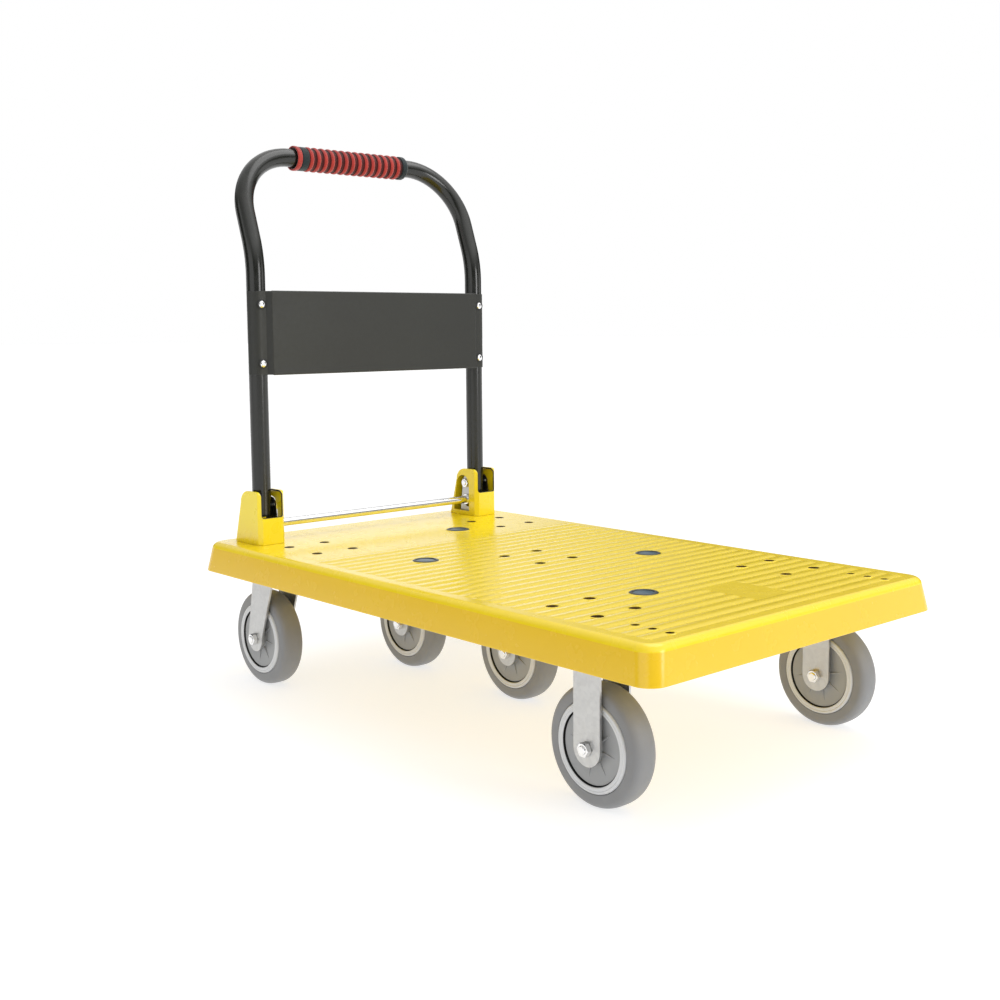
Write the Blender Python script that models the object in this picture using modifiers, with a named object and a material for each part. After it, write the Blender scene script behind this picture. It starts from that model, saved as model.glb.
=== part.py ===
"""Folding platform cart: a moulded deck on six casters, with a tubular handle that folds flat.

Frame: +X from the handle end to the free end, +Y to the left of the person pushing, +Z up.
The origin is on the floor under the middle of the deck. Every length is in metres.
"""
import math

import bmesh
import bpy
from mathutils import Matrix, Vector

# ---- driving dimensions ----
GAP = 0.0003  # running clearance between faces that touch

DECK_LENGTH = 1.10
DECK_WIDTH = 0.65
SKIRT_BOTTOM = 0.200
DECK_BORDER = 0.2516  # smooth border that the brackets stand on
DECK_FIELD = 0.2526  # raised loading field
DECK_SKIN = 0.0055
SKIRT_WALL = 0.005
SKIRT_DRAFT = 0.009  # how far each side leans in from the skirt's foot to the border
TOP_FILLET = 0.014
CORNER_RADIUS = 0.028
FIELD_REAR = -0.375
FIELD_FRONT = 0.520
FIELD_HALF_WIDTH = 0.294
RIB_BOTTOM = 0.2208  # underside ribs and caster pads end here
RIB_HALF = 0.0022  # half the thickness of an underside rib
CELL_SIZE = (0.105, 0.100)
CELL_COLUMNS = 10
CELL_ROWS = 6
HOLE_GROUP_X = 0.3365
HOLE_GROUP_Y = 0.2085
HOLE_SPACING = (0.088, 0.073)
HOLE_RADIUS = 0.009
HOLE_DEPTH = 0.018
SMALL_HOLES_X = (0.449, 0.479, 0.509)
SMALL_HOLES_Y = 0.245
SMALL_HOLE_RADIUS = 0.006
PLUG_PLACES = ((-0.107, -0.155), (-0.320, 0.088), (0.320, -0.088), (0.107, 0.155))
PLUG_RADIUS = 0.0215
PLUG_STEM_RADIUS = 0.0170
PLUG_FLANGE = 0.0021
PLUG_STEM_LENGTH = 0.012

WHEEL_RADIUS = 0.084
TYRE_HALF_WIDTH = 0.0205
RIM_RADIUS = 0.0629
RIM_HALF_WIDTH = 0.0225
HUB_HALF_WIDTH = 0.0245
WEB_HALF_WIDTH = 0.0150
AXLE_RADIUS = 0.006
AXLE_HEAD_HEIGHT = 0.006
AXLE_NUT_HEIGHT = 0.008
LEG_INNER = 0.0262
LEG_THICKNESS = 0.0035
LEG_OUTER = LEG_INNER + LEG_THICKNESS
FIXED_LEG_HALF_WIDTH = 0.0245
SWIVEL_LEG_HALF_WIDTH = 0.0225
PLATE_SIZE = (0.115, 0.085)
PLATE_THICKNESS = 0.004
PLATE_TOP = RIB_BOTTOM - GAP
CROWN_TOP = 0.2055
CROWN_THICKNESS = 0.0045
CROWN_ENDS = (-0.047, 0.027)  # the swivel crown's reach along X from its kingpin
RACE_RADIUS = 0.028
SWIVEL_TRAIL = 0.050
KINGPIN_RADIUS = 0.008
FIXED_CASTERS = {"front_right": (0.400, -0.256), "front_left": (0.400, 0.256)}
SWIVEL_CASTERS = {"rear_right": (-0.387, -0.256), "rear_left": (-0.387, 0.256),
                  "rear_middle": (-0.300, 0.0), "middle": (0.0, 0.0)}

TUBE_RADIUS = 0.0166
TUBE_WALL = 0.0015
HANDLE_X = -0.461
HANDLE_Y = 0.2498
PIVOT_Z = 0.3175
TUBE_BELOW_PIVOT = 0.018
HANDLE_TOP = 0.970
GRIP_X = -0.527
GRIP_RADIUS = 0.0228
GRIP_HALF_LENGTH = 0.127
HANDLE_LEAN = math.radians(19.5)
LEAN_BEND_RADIUS = 0.200
CORNER_BEND_RADIUS = 0.114
GRIP_Z = HANDLE_TOP - GRIP_RADIUS

PANEL_BOTTOM = 0.5530
PANEL_TOP = 0.7005
PANEL_SHEET = 0.0012
PANEL_FORWARD = 0.0085  # how far the middle of the panel stands in front of its saddles
SCREW_HEIGHTS = (0.5725, 0.6770)
SCREW_RADIUS = 0.0030
SCREW_LENGTH = 0.0050

COVER_REAR = -0.509
COVER_FRONT = -0.425
COVER_TOP = 0.3465
COVER_HALF_WIDTH = 0.0268
COVER_WALL = 0.0026
SLOT_HALF_WIDTH = 0.0207
SLOT_BOTTOM = 0.3000
SLOT_REAR = -0.4825
WINDOW_CENTRE = (-0.4705, 0.3145)
WINDOW_RADIUS = 0.0210
WINDOW_FOOT = 0.2600

HINGE_PLATE_OFFSET = 0.0180
HINGE_PLATE_THICKNESS = 0.0025
HINGE_BASE_THICKNESS = 0.003
HINGE_BASE_ENDS = (-0.492, -0.430)
EAR_HALF_WIDTH = 0.0225
EAR_TOP_RADIUS = 0.0150
PIVOT_RADIUS = 0.005
PIVOT_HEAD_HEIGHT = 0.003
PIVOT_NUT_HEIGHT = 0.008
COLLAR_RADIUS = 0.0105
COLLAR_LENGTH = 0.005
SPRING_RADIUS = 0.0052
SPRING_WIRE_RADIUS = 0.0007
SPRING_TURNS = 3
BAR_RADIUS = 0.0075
BAR_X = -0.461
BAR_Z = 0.2835
BAR_TRAVEL = 0.007

SIDES = {"right": -1, "left": 1}
ROUND_STEPS = 24  # sides of a wheel
THROUGH = 0.1  # length of a cutter that only has to pass right through

COLOURS = {  # base colour, roughness, metallic
    "deck_yellow": ((0.95, 0.78, 0.03), 0.30, 0.0),
    "cover_yellow": ((0.95, 0.80, 0.03), 0.32, 0.0),
    "plug_dark": ((0.03, 0.04, 0.045), 0.35, 0.0),
    "tube_black": ((0.03, 0.032, 0.03), 0.28, 0.3),
    "panel_charcoal": ((0.045, 0.048, 0.045), 0.45, 0.3),
    "grip_red": ((0.45, 0.03, 0.03), 0.80, 0.0),
    "tyre_grey": ((0.13, 0.14, 0.145), 0.60, 0.0),
    "rim_grey": ((0.45, 0.46, 0.47), 0.40, 0.0),
    "galvanised": ((0.60, 0.61, 0.62), 0.35, 0.9),
    "bright_steel": ((0.78, 0.79, 0.80), 0.15, 1.0),
}


def clear_scene():
    for item in list(bpy.context.scene.objects):
        bpy.data.objects.remove(item)


def collection(name):
    made = bpy.data.collections.new(name)
    bpy.context.scene.collection.children.link(made)
    return made


def material(name):
    if name in bpy.data.materials:
        return bpy.data.materials[name]
    colour, roughness, metallic = COLOURS[name]
    made = bpy.data.materials.new(name)
    made.use_nodes = True
    shader = made.node_tree.nodes["Principled BSDF"]
    shader.inputs["Base Color"].default_value = (*colour, 1.0)
    shader.inputs["Roughness"].default_value = roughness
    shader.inputs["Metallic"].default_value = metallic
    return made


def part(name, mesh, finish, at=(0, 0, 0), parent=None, smooth=False):
    """A visible sub-part: its mesh, its material, its place."""
    made = bpy.data.objects.new(name, mesh)
    parts.objects.link(made)
    if not mesh.materials:
        mesh.materials.append(material(finish))
    if smooth:
        mesh.shade_smooth()
        mesh.set_sharp_from_angle(angle=math.radians(35))
    made.location = at
    if parent:
        made.parent = parent
    return made


def axis_empty(name, at):
    """A joint's axis, which its moving pieces hang from."""
    made = bpy.data.objects.new(name, None)
    parts.objects.link(made)
    made.location = at
    return made


def cutter(name, mesh):
    made = bpy.data.objects.new(name, mesh)
    cutters.objects.link(made)
    made.hide_render = True
    made.display_type = "WIRE"
    return made


def boolean(target, mesh, operation="DIFFERENCE"):
    """Cuts mesh from target, or joins it on; mesh is in the target's own frame."""
    tool = cutter(f"{target.name}_{operation.lower()}_{len(target.modifiers)}", mesh)
    tool.parent = target
    modifier = target.modifiers.new("boolean", "BOOLEAN")
    modifier.operation = operation
    modifier.object = tool
    modifier.solver = "EXACT"


def bevel(target, width, segments, angle=40):
    modifier = target.modifiers.new("bevel", "BEVEL")
    modifier.width = width
    modifier.segments = segments
    modifier.limit_method = "ANGLE"
    modifier.angle_limit = math.radians(angle)


def finished(name, shape):
    """The mesh of a bmesh, which is freed."""
    mesh = bpy.data.meshes.new(name)
    shape.to_mesh(mesh)
    shape.free()
    return mesh


def boxes(name, corners):
    """One mesh of boxes, each given by its lowest and highest corner."""
    shape = bmesh.new()
    for low, high in corners:
        low, high = Vector(low), Vector(high)
        size = Matrix.Diagonal((*(high - low), 1))
        bmesh.ops.create_cube(shape, size=1, matrix=Matrix.Translation((low + high) / 2) @ size)
    return finished(name, shape)


def cylinders(name, rods, segments=12, axis="Z"):
    """One mesh of cylinders along an axis: (centre, radius, length) each."""
    turn = {"X": Matrix.Rotation(math.pi / 2, 4, "Y"), "Y": Matrix.Rotation(math.pi / 2, 4, "X"),
            "Z": Matrix.Identity(4)}[axis]
    shape = bmesh.new()
    for centre, radius, length in rods:
        bmesh.ops.create_cone(shape, cap_ends=True, segments=segments, radius1=radius,
                              radius2=radius, depth=length, matrix=Matrix.Translation(centre) @ turn)
    return finished(name, shape)


def evaluated_mesh(made):
    """The mesh of an object as Blender evaluates it, welded; the object is removed."""
    bpy.context.view_layer.update()
    mesh = bpy.data.meshes.new_from_object(made.evaluated_get(bpy.context.evaluated_depsgraph_get()))
    mesh.transform(made.matrix_world)
    shape = bmesh.new()
    shape.from_mesh(mesh)
    bmesh.ops.remove_doubles(shape, verts=shape.verts, dist=0.00001)
    bmesh.ops.recalc_face_normals(shape, faces=shape.faces)
    shape.to_mesh(mesh)
    shape.free()
    bpy.data.objects.remove(made)
    return mesh


def turned(name, profile, steps=ROUND_STEPS, axis="Y", closed=True):
    """A turned solid: (radius, height) points down its outer side, about the given axis."""
    mesh = bpy.data.meshes.new(name)
    points = [(radius, 0, height) for radius, height in profile]
    edges = [(index, index + 1) for index in range(len(points) - 1)]
    if closed:
        edges.append((len(points) - 1, 0))
    mesh.from_pydata(points, edges, [])
    made = bpy.data.objects.new(name, mesh)
    bpy.context.scene.collection.objects.link(made)
    modifier = made.modifiers.new("screw", "SCREW")
    modifier.steps = steps
    modifier.render_steps = steps
    modifier.use_merge_vertices = True
    modifier.merge_threshold = 0.00001
    if axis == "Y":
        made.rotation_euler = (math.radians(-90), 0, 0)
    return evaluated_mesh(made)


def plate(name, outline, low, high, axis="Y"):
    """A flat outline extruded between two levels of an axis: (x, z) for Y, (x, y) for Z."""
    curve = bpy.data.curves.new(name, "CURVE")
    curve.dimensions = "2D"
    curve.fill_mode = "BOTH"
    curve.extrude = (high - low) / 2
    spline = curve.splines.new("POLY")
    spline.points.add(len(outline) - 1)
    for point, (across, up) in zip(spline.points, outline):
        point.co = (across, up, 0, 1)
    spline.use_cyclic_u = True
    made = bpy.data.objects.new(name, curve)
    bpy.context.scene.collection.objects.link(made)
    if axis == "Y":
        made.rotation_euler = (math.radians(90), 0, 0)
        made.location = (0, (low + high) / 2, 0)
    else:
        made.location = (0, 0, (low + high) / 2)
    return evaluated_mesh(made)


def arc(centre, radius, start, end, steps):
    """Points of an arc in a plane, angles in degrees."""
    angles = [math.radians(start + (end - start) * step / steps) for step in range(steps + 1)]
    return [(centre[0] + radius * math.cos(a), centre[1] + radius * math.sin(a)) for a in angles]


def hexagon(name, across_flats, low, high):
    """A hexagon nut or head along Y between two levels."""
    return plate(name, arc((0, 0), across_flats / math.sqrt(3), 0, 300, 5), low, high)


# ---- deck ----
def hole_places():
    """Every bolt hole of the deck top: (x, y, radius)."""
    places = []
    groups = [(x, y) for x in (-HOLE_GROUP_X, HOLE_GROUP_X) for y in (-HOLE_GROUP_Y, HOLE_GROUP_Y)]
    for x, y in [*groups, (0.0, 0.0)]:
        for along in (-0.5, 0.5):
            for across in (-0.5, 0.5):
                places.append((x + along * HOLE_SPACING[0], y + across * HOLE_SPACING[1], HOLE_RADIUS))
    for x in SMALL_HOLES_X:
        for y in (-SMALL_HOLES_Y, SMALL_HOLES_Y):
            places.append((x, y, SMALL_HOLE_RADIUS))
    return places


def caster_places():
    return [*FIXED_CASTERS.values(), *SWIVEL_CASTERS.values()]


def drafted_block(inset, low, high):
    """A block inside the deck's sides by an inset, with their draft and round upright edges."""
    shape = bmesh.new()
    bmesh.ops.create_cube(shape, size=2, matrix=Matrix.Translation((0, 0, 1)))
    lean = SKIRT_DRAFT / (DECK_BORDER - SKIRT_BOTTOM)
    for corner in shape.verts:
        corner.co.z = high if corner.co.z > 1 else low
        margin = inset + lean * (corner.co.z - SKIRT_BOTTOM)
        corner.co.x *= DECK_LENGTH / 2 - margin
        corner.co.y *= DECK_WIDTH / 2 - margin
    upright = [e for e in shape.edges if abs(e.verts[0].co.z - e.verts[1].co.z) > (high - low) / 2]
    bmesh.ops.bevel(shape, geom=upright, offset=CORNER_RADIUS - inset, segments=5, profile=0.5, affect="EDGES")
    return shape


def deck_block():
    """The deck's outer form: drafted sides, round plan corners and a rolled top edge."""
    shape = drafted_block(0.0, SKIRT_BOTTOM, DECK_BORDER)
    rim = [e for e in shape.edges if min(v.co.z for v in e.verts) > DECK_BORDER - 0.0001]
    bmesh.ops.bevel(shape, geom=rim, offset=TOP_FILLET, segments=3, profile=0.5, affect="EDGES")
    return finished("deck", shape)


def covers_caster(low, high):
    """Whether a cell of the underside lies over a caster's top plate."""
    half_x, half_y = PLATE_SIZE[0] / 2, PLATE_SIZE[1] / 2
    return any(low[0] < x + half_x and high[0] > x - half_x and low[1] < y + half_y and high[1] > y - half_y
               for x, y in caster_places())


def deck_cells():
    """The deep cells between the underside ribs; cells over a caster stay solid as its pad."""
    ceiling = DECK_BORDER - DECK_SKIN
    cells = []
    for row in range(CELL_ROWS):
        for column in range(CELL_COLUMNS):
            x = (column - CELL_COLUMNS / 2) * CELL_SIZE[0]
            y = (row - CELL_ROWS / 2) * CELL_SIZE[1]
            low = (x + RIB_HALF, y + RIB_HALF, RIB_BOTTOM - 0.005)
            high = (x + CELL_SIZE[0] - RIB_HALF, y + CELL_SIZE[1] - RIB_HALF, ceiling)
            if not covers_caster(low, high):
                cells.append((low, high))
    return cells


def deck():
    made = part("deck", deck_block(), "deck_yellow")
    field_low = (FIELD_REAR, -FIELD_HALF_WIDTH, DECK_BORDER - 0.002)
    field_high = (FIELD_FRONT, FIELD_HALF_WIDTH, DECK_FIELD)
    boolean(made, boxes("loading_field", [(field_low, field_high)]), "UNION")
    boolean(made, finished("deck_tray", drafted_block(SKIRT_WALL, SKIRT_BOTTOM - 0.01, RIB_BOTTOM)))
    boolean(made, boxes("deck_cells", deck_cells()))
    rods = [((x, y, DECK_FIELD), radius, 2 * HOLE_DEPTH) for x, y, radius in hole_places()]
    boolean(made, cylinders("deck_holes", rods, segments=10))
    seat = 2 * (PLUG_FLANGE + GAP)
    plug_tops = [((x, y, DECK_FIELD), PLUG_RADIUS + GAP, seat) for x, y in PLUG_PLACES]
    boolean(made, cylinders("plug_counterbores", plug_tops, segments=16))
    stem = 2 * (PLUG_STEM_LENGTH + 0.002)
    stems = [((x, y, DECK_FIELD), PLUG_STEM_RADIUS + GAP, stem) for x, y in PLUG_PLACES]
    boolean(made, cylinders("plug_bores", stems, segments=16))
    return made


def deck_plugs():
    """The four round plugs: a flange let into the deck and a short hollow stem."""
    stem_wall = 0.002
    profile = [(0.0, 0.0006), (PLUG_RADIUS * 0.72, 0.0006), (PLUG_RADIUS - 0.0006, 0.0004),
               (PLUG_RADIUS, -0.0002), (PLUG_RADIUS, -PLUG_FLANGE), (PLUG_STEM_RADIUS, -PLUG_FLANGE),
               (PLUG_STEM_RADIUS, -PLUG_STEM_LENGTH), (PLUG_STEM_RADIUS - stem_wall, -PLUG_STEM_LENGTH),
               (PLUG_STEM_RADIUS - stem_wall, -PLUG_FLANGE), (0.0, -PLUG_FLANGE)]
    mesh = turned("deck_plug", profile, steps=16, axis="Z", closed=False)
    for index, (x, y) in enumerate(PLUG_PLACES, 1):
        part(f"deck_plug_{index}", mesh, "plug_dark", at=(x, y, DECK_FIELD), smooth=True)


# ---- casters ----
def tyre_mesh():
    """A cushion tyre with a crowned tread and round shoulders."""
    side = TYRE_HALF_WIDTH
    top = WHEEL_RADIUS
    outer = [(top - 0.0110, side), (top - 0.0040, side - 0.0028), (top - 0.0006, side - 0.0095), (top, 0.0)]
    mirrored = [(radius, -height) for radius, height in reversed(outer[:-1])]
    bore = RIM_RADIUS + GAP
    return turned("tyre", [(bore, side), *outer, *mirrored, (bore, -side)])


def wheel_mesh():
    """The rim, web and hub in one moulding."""
    half = [(AXLE_RADIUS + GAP, HUB_HALF_WIDTH), (0.0165, HUB_HALF_WIDTH), (0.0190, WEB_HALF_WIDTH),
            (0.0500, WEB_HALF_WIDTH), (0.0540, RIM_HALF_WIDTH), (RIM_RADIUS, RIM_HALF_WIDTH)]
    return turned("wheel", half + [(radius, -height) for radius, height in reversed(half)])


def fork_legs(name, outline):
    return [plate(f"{name}_leg_{label}", outline, low, high)
            for label, low, high in (("a", LEG_INNER, LEG_OUTER), ("b", -LEG_OUTER, -LEG_INNER))]


def fixed_fork(name, place):
    """A rigid fork: its top plate and both legs are one pressing."""
    half_x, half_y = PLATE_SIZE[0] / 2, PLATE_SIZE[1] / 2
    top = boxes(name, [((-half_x, -half_y, PLATE_TOP - PLATE_THICKNESS), (half_x, half_y, PLATE_TOP))])
    made = part(name, top, "galvanised", at=(*place, 0))
    leg_top = PLATE_TOP - PLATE_THICKNESS / 2
    outline = [(-FIXED_LEG_HALF_WIDTH, leg_top), *arc((0, WHEEL_RADIUS), FIXED_LEG_HALF_WIDTH, 180, 360, 8),
               (FIXED_LEG_HALF_WIDTH, leg_top)]
    for leg in fork_legs(name, outline):
        boolean(made, leg, "UNION")
    boolean(made, cylinders(f"{name}_bore", [((0, 0, WHEEL_RADIUS), AXLE_RADIUS + GAP, THROUGH)], 12, "Y"))


def swivel_fork(name, parent):
    """A swivel fork, in the kingpin's frame: a crown with two legs that lean back to the axle."""
    rear, front = CROWN_ENDS
    low = (rear, -LEG_OUTER, CROWN_TOP - CROWN_THICKNESS)
    made = part(name, boxes(name, [(low, (front, LEG_OUTER, CROWN_TOP))]), "galvanised", parent=parent)
    leg_top = CROWN_TOP - CROWN_THICKNESS / 2
    outline = [(rear - 0.003, leg_top), *arc((-SWIVEL_TRAIL, WHEEL_RADIUS), SWIVEL_LEG_HALF_WIDTH, 176, 368, 8),
               (front - 0.012, leg_top)]
    for leg in fork_legs(name, outline):
        boolean(made, leg, "UNION")
    pin = ((0, 0, CROWN_TOP), KINGPIN_RADIUS + GAP, 4 * CROWN_THICKNESS)
    boolean(made, cylinders(f"{name}_pin_hole", [pin], 16))
    bore = ((-SWIVEL_TRAIL, 0, WHEEL_RADIUS), AXLE_RADIUS + GAP, THROUGH)
    boolean(made, cylinders(f"{name}_bore", [bore], 12, "Y"))


def swivel_plate(name, place):
    """A swivel caster's top plate with its bearing race and riveted kingpin."""
    half_x, half_y = PLATE_SIZE[0] / 2, PLATE_SIZE[1] / 2
    low = PLATE_TOP - PLATE_THICKNESS
    made = part(name, boxes(name, [((-half_x, -half_y, low), (half_x, half_y, PLATE_TOP))]), "galvanised",
                at=(*place, 0))
    race_bottom = CROWN_TOP + GAP
    head_top = CROWN_TOP - CROWN_THICKNESS - GAP
    head_bottom = head_top - 0.005
    race_top = low + PLATE_THICKNESS / 2
    profile = [(0.0, race_top), (RACE_RADIUS, race_top), (RACE_RADIUS, race_bottom), (KINGPIN_RADIUS, race_bottom),
               (KINGPIN_RADIUS, head_top), (0.012, head_top), (0.011, head_bottom), (0.0, head_bottom)]
    boolean(made, turned(f"{name}_race", profile, steps=16, axis="Z", closed=False), "UNION")


def axle_bolt(name, parent, at):
    """The wheel's axle: a bolt whose hexagon head is on the +Y side."""
    face = LEG_OUTER + GAP
    head = hexagon(name, 0.017, face, face + AXLE_HEAD_HEIGHT)
    made = part(name, head, "bright_steel", at=at, parent=parent)
    end = -face - AXLE_NUT_HEIGHT - 0.002
    middle = (face + 0.001 + end) / 2
    shank = ((0, middle, 0), AXLE_RADIUS, face + 0.001 - end)
    boolean(made, cylinders(f"{name}_shank", [shank], 12, "Y"), "UNION")


def axle_nut(name, parent, at):
    face = -(LEG_OUTER + GAP)
    made = part(name, hexagon(name, 0.018, face - AXLE_NUT_HEIGHT, face), "bright_steel", at=at, parent=parent)
    boolean(made, cylinders(f"{name}_bore", [((0, face, 0), AXLE_RADIUS + GAP, THROUGH)], 12, "Y"))


def casters():
    tyre = tyre_mesh()
    wheel = wheel_mesh()
    for label, place in FIXED_CASTERS.items():
        fixed_fork(f"{label}_fork", place)
        hold = axis_empty(f"{label}_axle_axis", (*place, WHEEL_RADIUS))
        running_gear(label, tyre, wheel, hold, (0, 0, 0))
    for label, place in SWIVEL_CASTERS.items():
        swivel_plate(f"{label}_plate", place)
        hold = axis_empty(f"{label}_swivel_axis", (*place, 0))
        swivel_fork(f"{label}_fork", hold)
        running_gear(label, tyre, wheel, hold, (-SWIVEL_TRAIL, 0, WHEEL_RADIUS))


def running_gear(label, tyre, wheel, hold, at):
    part(f"{label}_tyre", tyre, "tyre_grey", at=at, parent=hold, smooth=True)
    part(f"{label}_wheel", wheel, "rim_grey", at=at, parent=hold, smooth=True)
    axle_bolt(f"{label}_axle_bolt", hold, at)
    axle_nut(f"{label}_axle_nut", hold, at)


# ---- handle ----
def handle_path():
    """The tube's centre line on the left side, from its lower end to the middle of the grip."""
    knee_z = GRIP_Z - (HANDLE_X - GRIP_X) / math.tan(HANDLE_LEAN)
    knee = Vector((HANDLE_X, HANDLE_Y, knee_z))
    reach = LEAN_BEND_RADIUS * math.tan(HANDLE_LEAN / 2)
    up = Vector((-math.sin(HANDLE_LEAN), 0, math.cos(HANDLE_LEAN)))
    points = [Vector((HANDLE_X, HANDLE_Y, PIVOT_Z - TUBE_BELOW_PIVOT)), Vector((HANDLE_X, HANDLE_Y, PIVOT_Z + 0.1))]
    steps = 5
    for step in range(steps + 1):
        angle = HANDLE_LEAN * step / steps
        back = LEAN_BEND_RADIUS * (1 - math.cos(angle))
        rise = LEAN_BEND_RADIUS * math.sin(angle)
        points.append(Vector((HANDLE_X - back, HANDLE_Y, knee_z - reach + rise)))
    straight = (GRIP_Z - knee_z) / math.cos(HANDLE_LEAN) - CORNER_BEND_RADIUS
    steps = 9
    for step in range(steps + 1):
        angle = math.pi / 2 * step / steps
        inward = CORNER_BEND_RADIUS * (1 - math.cos(angle))
        corner = knee + up * (straight + CORNER_BEND_RADIUS * math.sin(angle))
        points.append(corner - Vector((0, inward, 0)))
    return points


def handle_tube(axis):
    """One bent steel tube, hollow and open at both lower ends, drilled for its pivot bolts."""
    left = handle_path()
    right = [Vector((point.x, -point.y, point.z)) for point in reversed(left)]
    curve = bpy.data.curves.new("handle_tube", "CURVE")
    curve.dimensions = "3D"
    curve.bevel_depth = TUBE_RADIUS
    curve.bevel_resolution = 2
    spline = curve.splines.new("POLY")
    spline.points.add(len(left) + len(right) - 1)
    for point, place in zip(spline.points, left + right):
        point.co = (*(place - axis.location), 1)
    made = bpy.data.objects.new("handle_tube", curve)
    bpy.context.scene.collection.objects.link(made)
    tube = part("handle_tube", evaluated_mesh(made), "tube_black", parent=axis, smooth=True)
    wall = tube.modifiers.new("wall", "SOLIDIFY")
    wall.thickness = TUBE_WALL
    wall.offset = -1
    holes = [((0, 0, 0), PIVOT_RADIUS + GAP, 0.7)]
    boolean(tube, cylinders("tube_pivot_holes", holes, 12, "Y"))
    boolean(tube, screw_holes("tube_screw_holes"))


def screw_holes(name):
    """The four clearance holes through the panel's saddles and the tubes' front walls."""
    places = [(TUBE_RADIUS, side * HANDLE_Y, height - PIVOT_Z) for side in SIDES.values() for height in SCREW_HEIGHTS]
    return cylinders(name, [(place, SCREW_RADIUS + GAP, 0.012) for place in places], 8, "X")


def grip(axis):
    """The foam grip: a sleeve round the tube, plain here with a ring at each end."""
    bore = TUBE_RADIUS + GAP
    half = GRIP_HALF_LENGTH
    outer = [(GRIP_RADIUS, half), (GRIP_RADIUS, half - 0.012), (GRIP_RADIUS - 0.002, half - 0.014)]
    mirrored = [(radius, -height) for radius, height in reversed(outer)]
    mesh = turned("grip", [(bore, half), *outer, *mirrored, (bore, -half)], steps=20)
    part("grip", mesh, "grip_red", at=Vector((GRIP_X, 0, GRIP_Z)) - axis.location, parent=axis, smooth=True)


def panel(axis):
    """The sheet between the tubes: a saddle over the front of each tube, stepped forward between them."""
    radius = TUBE_RADIUS + GAP
    flat = radius
    left = [(radius * math.cos(a), HANDLE_Y + radius * math.sin(a))
            for a in (math.radians(90 - 15 * step) for step in range(7))]
    left += [(flat, HANDLE_Y - 0.0090), (flat + PANEL_FORWARD, HANDLE_Y - 0.0160)]
    right = [(x, -y) for x, y in reversed(left)]
    line = left + right
    shape = bmesh.new()
    rows = [[shape.verts.new((x, y, z - PIVOT_Z)) for x, y in line] for z in (PANEL_BOTTOM, PANEL_TOP)]
    for index in range(len(line) - 1):
        shape.faces.new((rows[0][index + 1], rows[0][index], rows[1][index], rows[1][index + 1]))
    bmesh.ops.recalc_face_normals(shape, faces=shape.faces)
    mesh = finished("handle_panel", shape)
    made = part("handle_panel", mesh, "panel_charcoal", parent=axis)
    sheet = made.modifiers.new("sheet", "SOLIDIFY")
    sheet.thickness = PANEL_SHEET
    middle = mesh.polygons[len(mesh.polygons) // 2]
    sheet.offset = 1 if middle.normal.x > 0 else -1
    boolean(made, screw_holes("panel_screw_holes"))


def panel_screws(axis):
    """Four dome-headed screws that hold the panel to the tubes."""
    seat = TUBE_RADIUS + GAP + PANEL_SHEET + GAP
    profile = [(0.0, 0.0026), (0.0032, 0.0021), (0.0055, 0.0), (SCREW_RADIUS, 0.0), (SCREW_RADIUS, -SCREW_LENGTH),
               (0.0, -SCREW_LENGTH)]
    mesh = turned("panel_screw", profile, steps=12, axis="Z", closed=False)
    mesh.transform(Matrix.Rotation(math.pi / 2, 4, "Y"))
    for side_name, side in SIDES.items():
        for level, height in zip(("lower", "upper"), SCREW_HEIGHTS):
            part(f"panel_screw_{side_name}_{level}", mesh, "bright_steel",
                 at=(seat, side * HANDLE_Y, height - PIVOT_Z), parent=axis, smooth=True)


# ---- hinge brackets ----
def cover_outline(inset):
    """The cover's side outline, (x, z), set in by a wall thickness."""
    base = DECK_BORDER + GAP
    rear_foot = (COVER_REAR + inset, base)
    rear_top = (COVER_REAR + 0.0205 + inset, COVER_TOP - 0.022)
    crown = arc((COVER_REAR + 0.0455, COVER_TOP - 0.0265), 0.0265 - inset, 158, 90, 3)
    nose = arc((COVER_FRONT - 0.0140, COVER_TOP - 0.0140), 0.0140 - inset, 90, 0, 3)
    return [rear_foot, rear_top, *crown, *nose, (COVER_FRONT - inset, base)]


def bracket_cover(side_name, side):
    """A moulded cover, closed on its outer side, slotted for the folding tube, with an arched window inside."""
    name = f"bracket_cover_{side_name}"
    centre = side * HANDLE_Y
    low, high = centre - COVER_HALF_WIDTH, centre + COVER_HALF_WIDTH
    made = part(name, plate(name, cover_outline(0), low, high), "cover_yellow")
    bevel(made, 0.0030, 2, angle=60)
    hollow = [(x, z - (0.02 if z < DECK_BORDER + 0.002 else 0)) for x, z in cover_outline(COVER_WALL)]
    boolean(made, plate(f"{name}_hollow", hollow, low + COVER_WALL, high - COVER_WALL))
    slot = ((SLOT_REAR, centre - SLOT_HALF_WIDTH, SLOT_BOTTOM),
            (COVER_FRONT + 0.02, centre + SLOT_HALF_WIDTH, COVER_TOP + 0.02))
    boolean(made, boxes(f"{name}_slot", [slot]))
    inner = centre - side * COVER_HALF_WIDTH
    window = [(WINDOW_CENTRE[0] - 0.0305, WINDOW_FOOT), *arc(WINDOW_CENTRE, WINDOW_RADIUS, 158, 0, 7),
              (WINDOW_CENTRE[0] + WINDOW_RADIUS, WINDOW_FOOT)]
    boolean(made, plate(f"{name}_window", window, inner - 0.004, inner + 0.004))


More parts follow.
